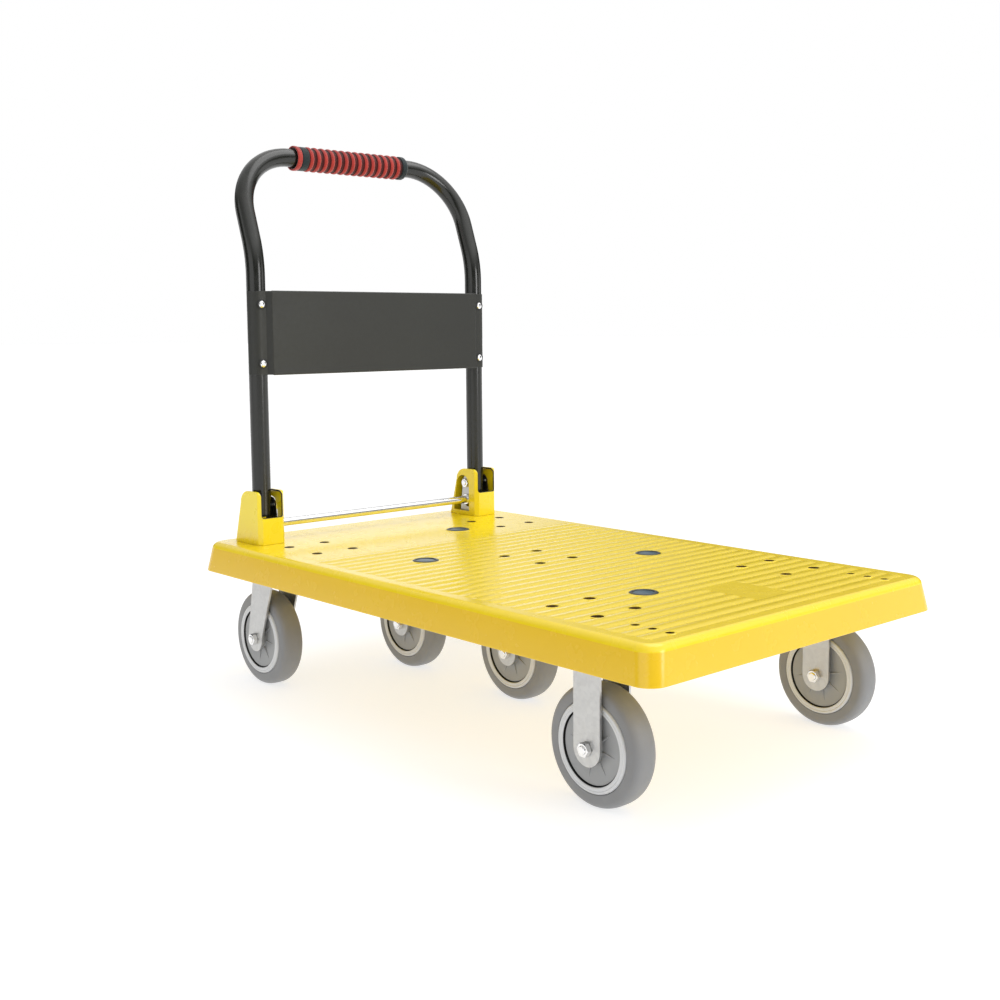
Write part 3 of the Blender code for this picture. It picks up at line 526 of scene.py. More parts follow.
yellowLook = {"color": rgb(0.95, 0.71, 0.010), "shade": rgb(0.93, 0.66, 0.009), "drift": 0.30,
              "driftScale": 4.0, "wornColor": rgb(0.98, 0.82, 0.22), "wear": 0.22, "wearWidth": 0.0016,
              "dust": 0.015, "scuffs": 0.03, "roughness": 0.25, "coat": 0.35, "gloss": 0.5,
              "grainScale": 700.0, "bump": 0.035}
finishes = {
    "deckYellow": mouldedPlastic("deckYellow", yellowLook),
    # the same yellow made deeper amber for the deck's outside walls: painted shade, the walls taking less
    # light than the top
    "deckSidePaintedShade": mouldedPlastic("deckSidePaintedShade", dict(
        yellowLook, color=rgb(0.88, 0.565, 0.012), shade=rgb(0.84, 0.52, 0.010),
        wornColor=rgb(0.96, 0.76, 0.20))),
    "coverYellow": mouldedPlastic("coverYellow", dict(
        yellowLook, color=rgb(0.95, 0.76, 0.010), shade=rgb(0.92, 0.70, 0.008), roughness=0.28,
        driftScale=18.0)),
    # dark brown for the inside of the holes: painted shade in the recesses
    "holePaintedShade": mouldedPlastic("holePaintedShade", dict(
        yellowLook, color=rgb(0.085, 0.045, 0.006), shade=rgb(0.050, 0.026, 0.004),
        wornColor=rgb(0.20, 0.12, 0.02), roughness=0.60, coat=0.0, driftScale=60.0, wear=0.0)),
    "plugDark": mouldedPlastic("plugDark", dict(
        yellowLook, color=rgb(0.012, 0.020, 0.024), shade=rgb(0.020, 0.028, 0.032),
        wornColor=rgb(0.10, 0.12, 0.13), roughness=0.36, coat=0.1, driftScale=60.0, dust=0.12, scuffs=0.3,
        wearWidth=0.0006)),
    "plugCentre": mouldedPlastic("plugCentre", dict(
        yellowLook, color=rgb(0.050, 0.110, 0.150), shade=rgb(0.030, 0.075, 0.115),
        wornColor=rgb(0.15, 0.19, 0.22), roughness=0.30, coat=0.2, driftScale=60.0, dust=0.15, scuffs=0.3,
        wearWidth=0.0006)),
    # black plastic for the panel screws' rings, and the same black as painted shade in the wheel's groove, on
    # the hinge brackets' faces beside the tube and in the band round each cover's slot
    "blackPlasticAndPaintedShade": mouldedPlastic("blackPlasticAndPaintedShade", dict(
        yellowLook, color=rgb(0.010, 0.010, 0.010), shade=rgb(0.018, 0.018, 0.018),
        wornColor=rgb(0.06, 0.06, 0.06), roughness=0.45, coat=0.0, driftScale=50.0, dust=0.05, scuffs=0.3,
        wearWidth=0.0005)),
    "rimLight": mouldedPlastic("rimLight", dict(
        yellowLook, color=rgb(0.68, 0.69, 0.70), shade=rgb(0.60, 0.61, 0.63), wornColor=rgb(0.78, 0.79, 0.80),
        roughness=0.36, coat=0.15, driftScale=30.0, dust=0.10, scuffs=0.5, wearWidth=0.0006)),
    "hubGrey": mouldedPlastic("hubGrey", dict(
        yellowLook, color=rgb(0.360, 0.366, 0.370), shade=rgb(0.305, 0.311, 0.316),
        wornColor=rgb(0.46, 0.47, 0.48), roughness=0.42, coat=0.05, driftScale=36.0, dust=0.12, scuffs=0.5,
        wearWidth=0.0006)),
    "tubeBlack": sprayedSteel("tubeBlack", {
        "color": rgb(0.008, 0.009, 0.007), "shade": rgb(0.014, 0.015, 0.012), "wear": 0.12,
        "grainScale": 520.0, "roughness": 0.20, "coat": 0.20, "bump": 0.03}),
    "panelCharcoal": sprayedSteel("panelCharcoal", {
        "color": rgb(0.017, 0.018, 0.015), "shade": rgb(0.023, 0.025, 0.021), "wear": 0.30,
        "grainScale": 700.0, "roughness": 0.46, "coat": 0.0, "bump": 0.10}),
    "zincPlate": barePlate("zincPlate", {
        "color": rgb(0.60, 0.60, 0.59), "shade": rgb(0.57, 0.57, 0.565), "tarnish": rgb(0.50, 0.50, 0.48),
        "drift": 0.18, "cells": 230.0, "roughness": 0.40, "bump": 0.05}),
    "brightSteel": barePlate("brightSteel", {
        "color": rgb(0.90, 0.90, 0.90), "shade": rgb(0.84, 0.84, 0.84), "tarnish": rgb(0.60, 0.60, 0.58),
        "drift": 0.08, "cells": 60.0, "roughness": 0.10, "bump": 0.02}),
    "tyreGrey": wheelRubber("tyreGrey", {
        "color": rgb(0.265, 0.267, 0.272), "shade": rgb(0.225, 0.227, 0.233), "roughness": 0.44}),
    "foamRed": gripFoam("foamRed", {
        "color": rgb(0.46, 0.040, 0.030), "shade": rgb(0.30, 0.018, 0.015), "roughness": 0.66,
        "cells": 1500.0}),
    # dark red for the grip's grooves and mouth: painted shade in the recesses
    "foamPaintedShade": gripFoam("foamPaintedShade", {
        "color": rgb(0.085, 0.007, 0.007), "shade": rgb(0.030, 0.004, 0.004), "roughness": 0.80,
        "cells": 1500.0}),
    "foamBlack": gripFoam("foamBlack", {
        "color": rgb(0.010, 0.020, 0.024), "shade": rgb(0.006, 0.010, 0.012), "roughness": 0.70,
        "cells": 1500.0}),
}
print("finishes ready:", len(finishes))


# deck

deckForm = {
    "skirtWall": 0.005, "draft": 0.009, "cornerRadius": 0.028, "topFillet": 0.010, "footRound": 0.0014,
    "border": 0.2516, "ribTop": 0.2526, "ribBottom": 0.2208, "skin": 0.0055,
    "ribPitch": 0.0266, "ribWidth": 0.0215, "grooveDepth": 0.0004, "ribRear": -0.232, "ribFront": 0.515,
    "ribHalfLength": 0.292, "cell": (0.105, 0.100), "cellColumns": 10, "cellRows": 6, "cellRib": 0.0022,
    "holeGroup": (0.3365, 0.2085), "holeSpacing": (0.088, 0.073), "holeRadius": 0.009, "holeDepth": 0.018,
    "smallHolesX": (0.449, 0.479, 0.509), "smallHolesY": 0.245, "smallHoleRadius": 0.006,
    "plugRadius": 0.0215, "plugStem": 0.0170, "plateSize": (0.115, 0.085), "grooveEnd": 0.004,
    "landMargin": 0.0030, "holeLip": 0.0009, "seatLip": 0.0006, "seatDepth": 0.0024, "stemLip": 0.0003,
    "stemDepth": 0.0135,
}
low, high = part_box("deck")
deckForm["half"] = (high.x, high.y)
deckForm["foot"] = low.z
plugPlaces = [(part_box(f"deck_plug_{n}")[0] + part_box(f"deck_plug_{n}")[1]) / 2 for n in range(1, 5)]
rigidCasters = ("front_right", "front_left")
swivelCasters = ("rear_right", "rear_left", "rear_middle", "middle")
plateCentres = {}
for label in rigidCasters:
    low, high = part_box(label + "_fork")
    plateCentres[label] = (low + high) / 2
for label in swivelCasters:
    low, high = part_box(label + "_plate")
    plateCentres[label] = (low + high) / 2


def draftedBlock(inset, low, high, segments):
    # a block inside the deck's leaning sides, with round upright edges
    shape = bmesh.new()
    bmesh.ops.create_cube(shape, size=2, matrix=Matrix.Translation((0, 0, 1)))
    lean = deckForm["draft"] / (deckForm["border"] - deckForm["foot"])
    for corner in shape.verts:
        corner.co.z = high if corner.co.z > 1 else low
        margin = inset + lean * (corner.co.z - deckForm["foot"])
        corner.co.x *= deckForm["half"][0] - margin
        corner.co.y *= deckForm["half"][1] - margin
    upright = [e for e in shape.edges if abs(e.verts[0].co.z - e.verts[1].co.z) > (high - low) / 2]
    bmesh.ops.bevel(shape, geom=upright, offset=deckForm["cornerRadius"] - inset, segments=segments,
                    profile=0.5, affect="EDGES")
    return shape


def deckBlock():
    shape = draftedBlock(0.0, deckForm["foot"], deckForm["border"], 12)
    rim = [e for e in shape.edges if min(v.co.z for v in e.verts) > deckForm["border"] - 0.0001]
    bmesh.ops.bevel(shape, geom=rim, offset=deckForm["topFillet"], segments=9, profile=0.5, affect="EDGES")
    foot = [e for e in shape.edges if max(v.co.z for v in e.verts) < deckForm["foot"] + 0.0001]
    bmesh.ops.bevel(shape, geom=foot, offset=deckForm["footRound"], segments=3, profile=0.5, affect="EDGES")
    return meshOf("deckShell", shape)


def ribMesh(centreX, lowY, highY):
    # one tread rib: a low crown in section, run out to nothing at both ends
    rise = deckForm["ribTop"] - deckForm["border"]
    half = deckForm["ribWidth"] / 2
    across = 12
    runOut = 0.006
    stations = [(lowY, 0.0), (lowY + runOut * 0.35, 0.55), (lowY + runOut, 1.0),
                (highY - runOut, 1.0), (highY - runOut * 0.35, 0.55), (highY, 0.0)]
    shape = bmesh.new()
    rows = []
    for y, share in stations:
        row = []
        for step in range(across + 1):
            place = step / across * 2 - 1
            crown = math.cos(place * math.pi / 2)
            row.append(shape.verts.new((centreX + place * half, y,
                                        deckForm["border"] - 0.0001 + rise * crown * share)))
        rows.append(row)
    floor = [[shape.verts.new((centreX + side * half, y, deckForm["border"] - 0.002)) for side in (-1, 1)]
             for y in (lowY, highY)]
    for near, far in zip(rows, rows[1:]):
        for step in range(across):
            shape.faces.new((near[step], near[step + 1], far[step + 1], far[step]))
    shape.faces.new((*rows[0], floor[0][1], floor[0][0]))
    shape.faces.new((*rows[-1], floor[1][1], floor[1][0]))
    shape.faces.new((*[row[0] for row in rows], floor[1][0], floor[0][0]))
    shape.faces.new((*[row[-1] for row in rows], floor[1][1], floor[0][1]))
    shape.faces.new((floor[0][0], floor[0][1], floor[1][1], floor[1][0]))
    return shape


smoothPatches = [  # places without ribs: (low x, high x, low y, high y)
    (0.372, 0.452, -0.005, 0.070),
]


def ribSpans(centreX):
    # the lengths of one rib between the smooth patches
    reach = deckForm["ribHalfLength"]
    half = deckForm["ribWidth"] / 2
    cuts = sorted((lowY, highY) for lowX, highX, lowY, highY in smoothPatches
                  if lowX < centreX + half and highX > centreX - half)
    spans = []
    start = -reach
    for lowY, highY in cuts:
        spans.append((start, lowY))
        start = highY
    spans.append((start, reach))
    return spans


def ribLines(shift, extra=0):
    # places along the deck, one for every rib pitch
    count = int((deckForm["ribFront"] - deckForm["ribRear"]) / deckForm["ribPitch"]) + extra
    return [deckForm["ribFront"] - deckForm["ribPitch"] * (index + shift) for index in range(count)]


def treadRibs():
    return joined("treadRibs", [meshOf("rib", ribMesh(centreX, *span))
                                for centreX in ribLines(0.5) for span in ribSpans(centreX)])


def treadGrooves():
    # shallow round grooves that part the ribs
    width = (deckForm["ribPitch"] - deckForm["ribWidth"]) / 2 + 0.0006
    depth, top, end = deckForm["grooveDepth"], deckForm["border"], deckForm["grooveEnd"]
    grooves = []
    for centreX in ribLines(0, 1):
        outline = [(centreX - width, top + 0.001), (centreX - width, top),
                   (centreX - width * 0.5, top - depth * 0.75), (centreX, top - depth),
                   (centreX + width * 0.5, top - depth * 0.75), (centreX + width, top),
                   (centreX + width, top + 0.001)]
        grooves += [slabMesh("groove", outline, lowY + end, highY - end) for lowY, highY in ribSpans(centreX)]
    return joined("treadGrooves", grooves)


def deckCells():
    # the deep cells of the underside; those over a caster stay solid
    halfX, halfY = deckForm["plateSize"][0] / 2, deckForm["plateSize"][1] / 2
    ceiling = deckForm["border"] - deckForm["skin"]
    sizeX, sizeY = deckForm["cell"]
    cells = []
    for row in range(deckForm["cellRows"]):
        for column in range(deckForm["cellColumns"]):
            x = (column - deckForm["cellColumns"] / 2) * sizeX + deckForm["cellRib"]
            y = (row - deckForm["cellRows"] / 2) * sizeY + deckForm["cellRib"]
            endX, endY = x + sizeX - 2 * deckForm["cellRib"], y + sizeY - 2 * deckForm["cellRib"]
            if any(x < at.x + halfX and endX > at.x - halfX and y < at.y + halfY and endY > at.y - halfY
                   for at in plateCentres.values()):
                continue
            cells.append(((x, y, deckForm["ribBottom"] - 0.005), (endX, endY, ceiling)))
    return cells


def boltHoles():
    spots = []
    groupX, groupY = deckForm["holeGroup"]
    for x, y in ((-groupX, -groupY), (-groupX, groupY), (groupX, -groupY), (groupX, groupY), (0.0, 0.0)):
        for along in (-0.5, 0.5):
            for across in (-0.5, 0.5):
                spots.append((x + along * deckForm["holeSpacing"][0], y + across * deckForm["holeSpacing"][1],
                              deckForm["holeRadius"]))
    for x in deckForm["smallHolesX"]:
        for y in (-deckForm["smallHolesY"], deckForm["smallHolesY"]):
            spots.append((x, y, deckForm["smallHoleRadius"]))
    return spots


def turnedAt(name, profile, steps, x, y):
    mesh = turnedMesh(name, profile, steps, "Z")
    mesh.transform(Matrix.Translation((x, y, 0)))
    return mesh


def drilled(spots, top, lip, depth, steps):
    # cutters for round holes, each with a small rolled lip; the walls and floor inside take finish 1, dark
    # brown painted shade
    drills = []
    for x, y, radius in spots:
        profile = [(0.0, top + 0.003, 0), (radius + lip, top + 0.003, 0), (radius + lip, top, 0),
                   (radius + lip * 0.3, top - lip * 0.4, 0), (radius, top - lip, 1), (radius, top - depth, 1),
                   (0.0, top - depth, 1)]
        drills.append(turnedAt("drill", profile, steps, x, y))
    mesh = joined("drills", drills)
    mesh.materials.append(finishes["deckYellow"])
    mesh.materials.append(finishes["holePaintedShade"])
    return mesh


def lands(spots, margin, height):
    # flat rounds that keep the ribs clear of every hole and plug
    rounds = []
    for x, y, radius in spots:
        reach = radius + margin
        profile = [(0.0, height, 0), (reach - 0.0012, height, 0), (reach, height - 0.0006, 0),
                   (reach + 0.0006, height - 0.0022, 0), (0.0, height - 0.0022, 0)]
        rounds.append(turnedAt("land", profile, 48, x, y))
    return joined("lands", rounds)


def buildDeck():
    made = newPiece("deckShell", deckBlock(),
                    [finishes["deckYellow"], finishes["holePaintedShade"], finishes["deckSidePaintedShade"]])
    tray = draftedBlock(deckForm["skirtWall"], deckForm["foot"] - cutPast, deckForm["ribBottom"], 8)
    carve(made, meshOf("tray", tray))
    carve(made, boxMesh("cells", deckCells()))
    carve(made, treadGrooves())
    carve(made, treadRibs(), "UNION")
    ribbed = [spot for spot in boltHoles() if spot[0] > deckForm["ribRear"]]
    ribbed += [(at.x, at.y, deckForm["plugRadius"]) for at in plugPlaces]
    carve(made, lands(ribbed, deckForm["landMargin"], deckForm["ribTop"] - 0.0002), "UNION")
    carve(made, drilled(boltHoles(), deckForm["ribTop"], deckForm["holeLip"], deckForm["holeDepth"], 32))
    seats = [(at.x, at.y, deckForm["plugRadius"] + touchGap) for at in plugPlaces]
    carve(made, drilled(seats, deckForm["ribTop"], deckForm["seatLip"], deckForm["seatDepth"], 56))
    stems = [(at.x, at.y, deckForm["plugStem"] + touchGap) for at in plugPlaces]
    carve(made, drilled(stems, deckForm["ribTop"] - 0.001, deckForm["stemLip"],
                        deckForm["stemDepth"], 40))
    wallTop = deckForm["border"] - deckForm["topFillet"]
    edge = (deckForm["half"][0] - 0.03, deckForm["half"][1] - 0.03)
    # the outside walls take finish 2, the deeper amber: painted shade on the walls
    for face in made.data.polygons:
        outside = abs(face.center.x) > edge[0] or abs(face.center.y) > edge[1]
        if abs(face.normal.z) < 0.35 and face.center.z < wallTop + 0.001 and outside:
            face.material_index = 2
    smooth(made, 32)
    standsFor(made, "chassis", "deck", "deck")
    print("deck shell:", len(made.data.polygons), "faces")


buildDeck()

plugForm = {"rimWidth": 0.0056, "dish": 0.0006, "flange": 0.0021, "stemLength": 0.012, "stemWall": 0.002}


def buildPlugs():
    radius, stem = deckForm["plugRadius"], deckForm["plugStem"]
    rim = radius - plugForm["rimWidth"]
    flange, dish = plugForm["flange"], plugForm["dish"]
    stemInner = stem - plugForm["stemWall"]
    profile = [(0.0, 0.0003, 1), (rim * 0.5, 0.0001, 1), (rim - 0.0008, -dish * 0.5, 1), (rim, -dish, 0),
               (rim + 0.0006, 0.0004, 0), (rim + 0.0016, 0.0010, 0), (radius - 0.0016, 0.0008, 0),
               (radius - 0.0004, 0.0002, 0), (radius, -0.0006, 0), (radius, -flange, 0), (stem, -flange, 0),
               (stem, -plugForm["stemLength"], 0), (stemInner, -plugForm["stemLength"], 0),
               (stemInner, -flange, 0), (0.0, -flange, 0)]
    mesh = turnedMesh("deckPlug", profile, 64, "Z")
    for index, at in enumerate(plugPlaces, 1):
        made = newPiece(f"deckPlug{index}", mesh, [finishes["plugDark"], finishes["plugCentre"]],
                        (at.x, at.y, deckForm["ribTop"]))
        smooth(made, 40)
        standsFor(made, "chassis", "plug", f"deck_plug_{index}")


buildPlugs()
print("plugs ready")


# casters

wheelForm = {
    "radius": 0.084, "tyreHalf": 0.0205, "rimRadius": 0.0629, "rimHalf": 0.0225, "hubHalf": 0.0245,
    "boltRadius": 0.006, "legInner": 0.0262, "legOuter": 0.0297,
    "discHalf": 0.0192, "grooveDepth": 0.0062, "spokes": 8, "spokeHeight": 0.0011, "spokeHalf": 0.0013,
    "headAcross": 0.017, "headHeight": 0.006, "nutAcross": 0.018, "nutHeight": 0.008, "threadLength": 0.0100,
    "turnStep": 0.37,  # each wheel stands turned a little further than the one before
}


def tyreMesh():
    side, top = wheelForm["tyreHalf"], wheelForm["radius"]
    bore = wheelForm["rimRadius"] + touchGap
    half = [(bore, side - 0.0012, 0), (bore + 0.0010, side - 0.0002, 0), (bore + 0.0030, side, 0),
            (bore + 0.0050, side - 0.0002, 0), (top - 0.0112, side - 0.0001, 0)]
    crownSteps = 10
    for step in range(crownSteps + 1):
        lean = math.radians(8 + 82 * step / crownSteps)
        half.append((top - 0.0100 + 0.0100 * math.sin(lean), (side - 0.0004) * math.cos(lean) ** 0.62, 0))
    half[-1] = (top, 0.0, 0)
    other = [(radius, -height, 0) for radius, height, _ in reversed(half[:-1])]
    return turnedMesh("tyre", half + other, 112, "Y")


def wheelMesh():
    # finish 0 is the pale rim, 1 the grey disc and hub, 2 the groove, painted black as shade in the recess
    rim, rimHalf, disc = wheelForm["rimRadius"], wheelForm["rimHalf"], wheelForm["discHalf"]
    grooveFloor = rimHalf - wheelForm["grooveDepth"]
    half = [(wheelForm["boltRadius"] + touchGap, wheelForm["hubHalf"] - 0.0006, 1),
            (0.0072, wheelForm["hubHalf"], 1), (0.0158, wheelForm["hubHalf"], 1),
            (0.0167, wheelForm["hubHalf"] - 0.0009, 1), (0.0172, disc - 0.0012, 1),
            (0.0190, disc - 0.0022, 1), (0.0320, disc - 0.0018, 1), (0.0460, disc - 0.0004, 1),
            (0.0502, disc, 1), (0.0512, disc - 0.0004, 2), (0.0516, grooveFloor, 2), (0.0527, grooveFloor, 2),
            (0.0530, rimHalf - 0.0010, 0), (0.0538, rimHalf - 0.0001, 0), (0.0562, rimHalf, 0),
            (0.0574, rimHalf - 0.0007, 0), (0.0582, rimHalf - 0.0007, 0), (0.0592, rimHalf, 0),
            (0.0612, rimHalf - 0.0002, 0), (rim - 0.0004, rimHalf - 0.0016, 0), (rim, rimHalf - 0.0030, 0)]
    profile = half + [(radius, -height, half[max(index - 1, 0)][2])
                      for index, (radius, height, _) in reversed(list(enumerate(half)))]
    return turnedMesh("wheel", profile, 112, "Y")


def spokeMesh():
    # low radial ribs on both faces of the disc
    start, end = 0.0185, 0.0485
    merged = bmesh.new()
    for side in (-1, 1):
        floor = wheelForm["discHalf"] - 0.0040
        top = wheelForm["discHalf"] + wheelForm["spokeHeight"] - 0.0010
        for index in range(wheelForm["spokes"]):
            half = wheelForm["spokeHalf"]
            outline = [(start, -half * 1.5), (end, -half), (end, half), (start, half * 1.5)]
            slab = slabMesh("spoke", outline, 0.0, top - floor, "Z")
            bulk = bmesh.new()
            bulk.from_mesh(slab)
            for corner in bulk.verts:
                if corner.co.z > 0.0001:
                    corner.co.y *= 0.45
                    if corner.co.x > 0.04:
                        corner.co.z -= wheelForm["spokeHeight"] * 0.9
            turn = Matrix.Rotation(2 * math.pi * (index + 0.22) / wheelForm["spokes"], 4, "Y")
            stand = Matrix.Translation((0, side * floor, 0)) @ Matrix.Rotation(-side * math.pi / 2, 4, "X")
            bmesh.ops.transform(bulk, matrix=turn @ stand, verts=bulk.verts)
            bulk.to_mesh(slab)
            bulk.free()
            merged.from_mesh(slab)
            bpy.data.meshes.remove(slab)
    return meshOf("spokes", merged)


def finishedWheel():
    made = newPiece("wheelPattern", wheelMesh(),
                    [finishes["rimLight"], finishes["hubGrey"], finishes["blackPlasticAndPaintedShade"]])
    spokes = spokeMesh()
    for finish in (finishes["rimLight"], finishes["hubGrey"]):
        spokes.materials.append(finish)
    for face in spokes.polygons:
        face.material_index = 1
    carve(made, spokes, "UNION")
    return takenMesh(made)


def hexMesh(name, acrossFlats, low, high, boreRadius=0.0):
    # a hexagon with its outer corners turned down, along Y
    outline = arcPoints((0, 0), acrossFlats / math.sqrt(3), 0, 300, 5)
    made = newPiece(name, slabMesh(name, outline, low, high), [finishes["brightSteel"]])
    corner = acrossFlats / math.sqrt(3)
    flat = acrossFlats / 2 * 0.96
    slope = (corner - flat) * 0.5
    cone = [(0.0, high, 0), (flat, high, 0), (corner + 0.0002, high - slope, 0),
            (corner + 0.0002, low + slope, 0), (flat, low, 0), (0.0, low, 0)]
    carve(made, turnedMesh("cone", cone, 48, "Y"), "INTERSECT")
    if boreRadius:
        carve(made, rodMesh(boreRadius, low - cutPast, high + cutPast, 32))
    return takenMesh(made)


def threadedRod(name, radius, low, high):
    # a bolt's end with its thread turned as rings, chamfered at the tip, along Y
    pitch = 0.00125
    rings = int((high - low - 0.0012) / pitch)
    profile = [(0.0, high, 0), (radius - 0.0009, high, 0)]
    for ring in range(rings):
        at = high - 0.0006 - ring * pitch
        profile += [(radius, at, 0), (radius - 0.0006, at - pitch / 2, 0)]
    profile += [(radius - 0.0006, low, 0), (0.0, low, 0)]
    return turnedMesh(name, profile, 32, "Y")


def boltMesh():
    # the axle: head on +Y, plain shank, threaded end on -Y
    face = wheelForm["legOuter"] + touchGap
    radius = wheelForm["boltRadius"]
    head = hexMesh("axleHead", wheelForm["headAcross"], face, face + wheelForm["headHeight"])
    shank = rodMesh(radius, -face - 0.0004, face + 0.001, 40)
    end = threadedRod("axleEnd", radius, face + 0.0002, face + wheelForm["threadLength"])
    end.transform(Matrix.Rotation(math.pi, 4, "X"))
    return joined("axleBolt", [head, shank, end])


def nutMesh():
    face = -(wheelForm["legOuter"] + touchGap)
    return hexMesh("axleNut", wheelForm["nutAcross"], face - wheelForm["nutHeight"], face,
                   wheelForm["boltRadius"] + touchGap)


forkForm = {
    "rigidLegHalf": 0.0245, "swivelLegHalf": 0.0225, "plateThickness": 0.004, "plateTop": 0.2205,
    "crownTop": 0.2055, "crownThickness": 0.0045, "trail": 0.050, "crownRear": -0.047, "crownFront": 0.027,
    "edgeRound": 0.0009, "raceRadius": 0.028, "kingpin": 0.008, "plateCorner": 0.007,
    "boltInset": (0.0135, 0.0125), "boltHoleRadius": 0.0045, "boltSlotHalf": 0.009, "crownCorner": 0.010,
    "plateRound": 0.0006,
}


def roundedOutline(lowX, lowY, highX, highY, radius, steps=6):
    return [*arcPoints((highX - radius, highY - radius), radius, 0, 90, steps),
            *arcPoints((lowX + radius, highY - radius), radius, 90, 180, steps),
            *arcPoints((lowX + radius, lowY + radius), radius, 180, 270, steps),
            *arcPoints((highX - radius, lowY + radius), radius, 270, 360, steps)]


def topPlate(name):
    # a caster's top plate with its four corner slots, at its kingpin's place
    halfX, halfY = deckForm["plateSize"][0] / 2, deckForm["plateSize"][1] / 2
    top = forkForm["plateTop"]
    low = top - forkForm["plateThickness"]
    outline = roundedOutline(-halfX, -halfY, halfX, halfY, forkForm["plateCorner"])
    made = newPiece(name, slabMesh(name, outline, low, top, "Z"), [finishes["zincPlate"]])
    insetX, insetY = forkForm["boltInset"]
    holes = []
    radius, reach = forkForm["boltHoleRadius"], forkForm["boltSlotHalf"]
    for sideX in (-1, 1):
        for sideY in (-1, 1):
            x, y = sideX * (halfX - insetX), sideY * (halfY - insetY)
            slot = roundedOutline(x - reach, y - radius, x + reach, y + radius, radius - 0.0001)
            holes.append(slabMesh("slot", slot, low - 0.002, top + 0.002, "Z"))
    return carve(made, joined("slots", holes))


def legMeshes(outline):
    return [slabMesh("leg", outline, low, high)
            for low, high in ((wheelForm["legInner"], wheelForm["legOuter"]),
                              (-wheelForm["legOuter"], -wheelForm["legInner"]))]


def axleDrill(atX):
    radius = wheelForm["boltRadius"] + touchGap
    mesh = rodMesh(radius, -0.05, 0.05, 32)
    mesh.transform(Matrix.Translation((atX, 0, wheelForm["radius"])))
    return mesh


def rigidForkMesh():
    made = topPlate("rigidFork")
    half = forkForm["rigidLegHalf"]
    top = forkForm["plateTop"] - forkForm["plateThickness"] / 2
    side = [(half + 0.010, top), (half + 0.010, top - 0.006), (half + 0.002, top - 0.020),
            (half, top - 0.030)]
    outline = [*((-x, z) for x, z in side), *arcPoints((0, wheelForm["radius"]), half, 180, 360, 24),
               *reversed(side)]
    for leg in legMeshes(outline):
        carve(made, leg, "UNION")
    carve(made, axleDrill(0.0))
    roundEdges(made, forkForm["edgeRound"], 2, 50)
    return takenMesh(made)


def swivelForkMesh():
    rear, front = forkForm["crownRear"], forkForm["crownFront"]
    low = forkForm["crownTop"] - forkForm["crownThickness"]
    outer = wheelForm["legOuter"]
    outline = roundedOutline(rear, -outer, front, outer, forkForm["crownCorner"])
    made = newPiece("swivelFork", slabMesh("swivelFork", outline, low, forkForm["crownTop"], "Z"),
                    [finishes["zincPlate"]])
    top = low + forkForm["crownThickness"] / 2
    foot = arcPoints((-forkForm["trail"], wheelForm["radius"]), forkForm["swivelLegHalf"], 176, 368, 26)
    legs = [(rear - 0.003, top), *foot, (front - 0.012, top)]
    for leg in legMeshes(legs):
        carve(made, leg, "UNION")
    carve(made, axleDrill(-forkForm["trail"]))
    pin = forkForm["kingpin"] + touchGap
    carve(made, rodMesh(pin, 0.19, 0.22, 32, "Z"))
    roundEdges(made, forkForm["edgeRound"], 2, 50)
    return takenMesh(made)


def swivelPlateMesh():
    # the plate, its pressed ball race and the riveted kingpin
    made = topPlate("swivelPlate")
    low = forkForm["plateTop"] - forkForm["plateThickness"]
    race, pin = forkForm["raceRadius"], forkForm["kingpin"]
    foot = forkForm["crownTop"] + touchGap
    head = forkForm["crownTop"] - forkForm["crownThickness"] - touchGap
    profile = [(0.0, low + 0.001, 0), (race - 0.0015, low + 0.001, 0), (race - 0.0006, low - 0.0012, 0),
               (race + 0.0006, low - 0.0040, 0), (race + 0.0010, foot + 0.0030, 0), (race, foot + 0.0008, 0),
               (race - 0.0016, foot, 0), (pin, foot, 0), (pin, head, 0), (0.0125, head, 0),
               (0.0128, head - 0.0010, 0), (0.0112, head - 0.0034, 0), (0.0070, head - 0.0047, 0),
               (0.0, head - 0.0050, 0)]
    carve(made, turnedMesh("race", profile, 64, "Z"), "UNION")
    roundEdges(made, forkForm["plateRound"], 2, 50)
    return takenMesh(made)


def buildCasters():
    tyre, wheel = tyreMesh(), finishedWheel()
    bolt, nut = boltMesh(), nutMesh()
    rigidFork, swivelFork, swivelPlate = rigidForkMesh(), swivelForkMesh(), swivelPlateMesh()
    for order, (label, at) in enumerate(plateCentres.items()):
        swivels = label in swivelCasters
        holder = label + "_swivel" if swivels else "chassis"
        axleX = at.x - (forkForm["trail"] if swivels else 0.0)
        axle = (axleX, at.y, wheelForm["radius"])
        fork = newPiece(label + "Fork", swivelFork if swivels else rigidFork, [finishes["zincPlate"]],
                        (at.x, at.y, 0))
        smooth(fork, 40)
        standsFor(fork, holder, "caster_steel", label + "_fork")
        if swivels:
            plate = newPiece(label + "Plate", swivelPlate, [finishes["zincPlate"]], (at.x, at.y, 0))
            smooth(plate, 40)
            standsFor(plate, "chassis", "caster_steel", label + "_plate")
        turned = Matrix.Rotation(wheelForm["turnStep"] * order, 4, "Y")
        for kind, mesh, slotName, finish in (("Tyre", tyre, "tyre", "tyreGrey"),
                                             ("Wheel", wheel, "wheel_centre", "rimLight")):
            made = newPiece(label + kind, mesh.copy(), [finishes[finish]], axle)
            made.data.transform(turned)
            smooth(made, 30)
            standsFor(made, label + "_roller", slotName, f"{label}_{kind.lower()}")
        for kind, mesh, node in (("AxleBolt", bolt, "_axle_bolt"), ("AxleNut", nut, "_axle_nut")):
            made = newPiece(label + kind, mesh, [finishes["brightSteel"]], axle)
            smooth(made, 30)
            standsFor(made, holder, "axle_steel", label + node)


buildCasters()
print("casters ready")


# handle

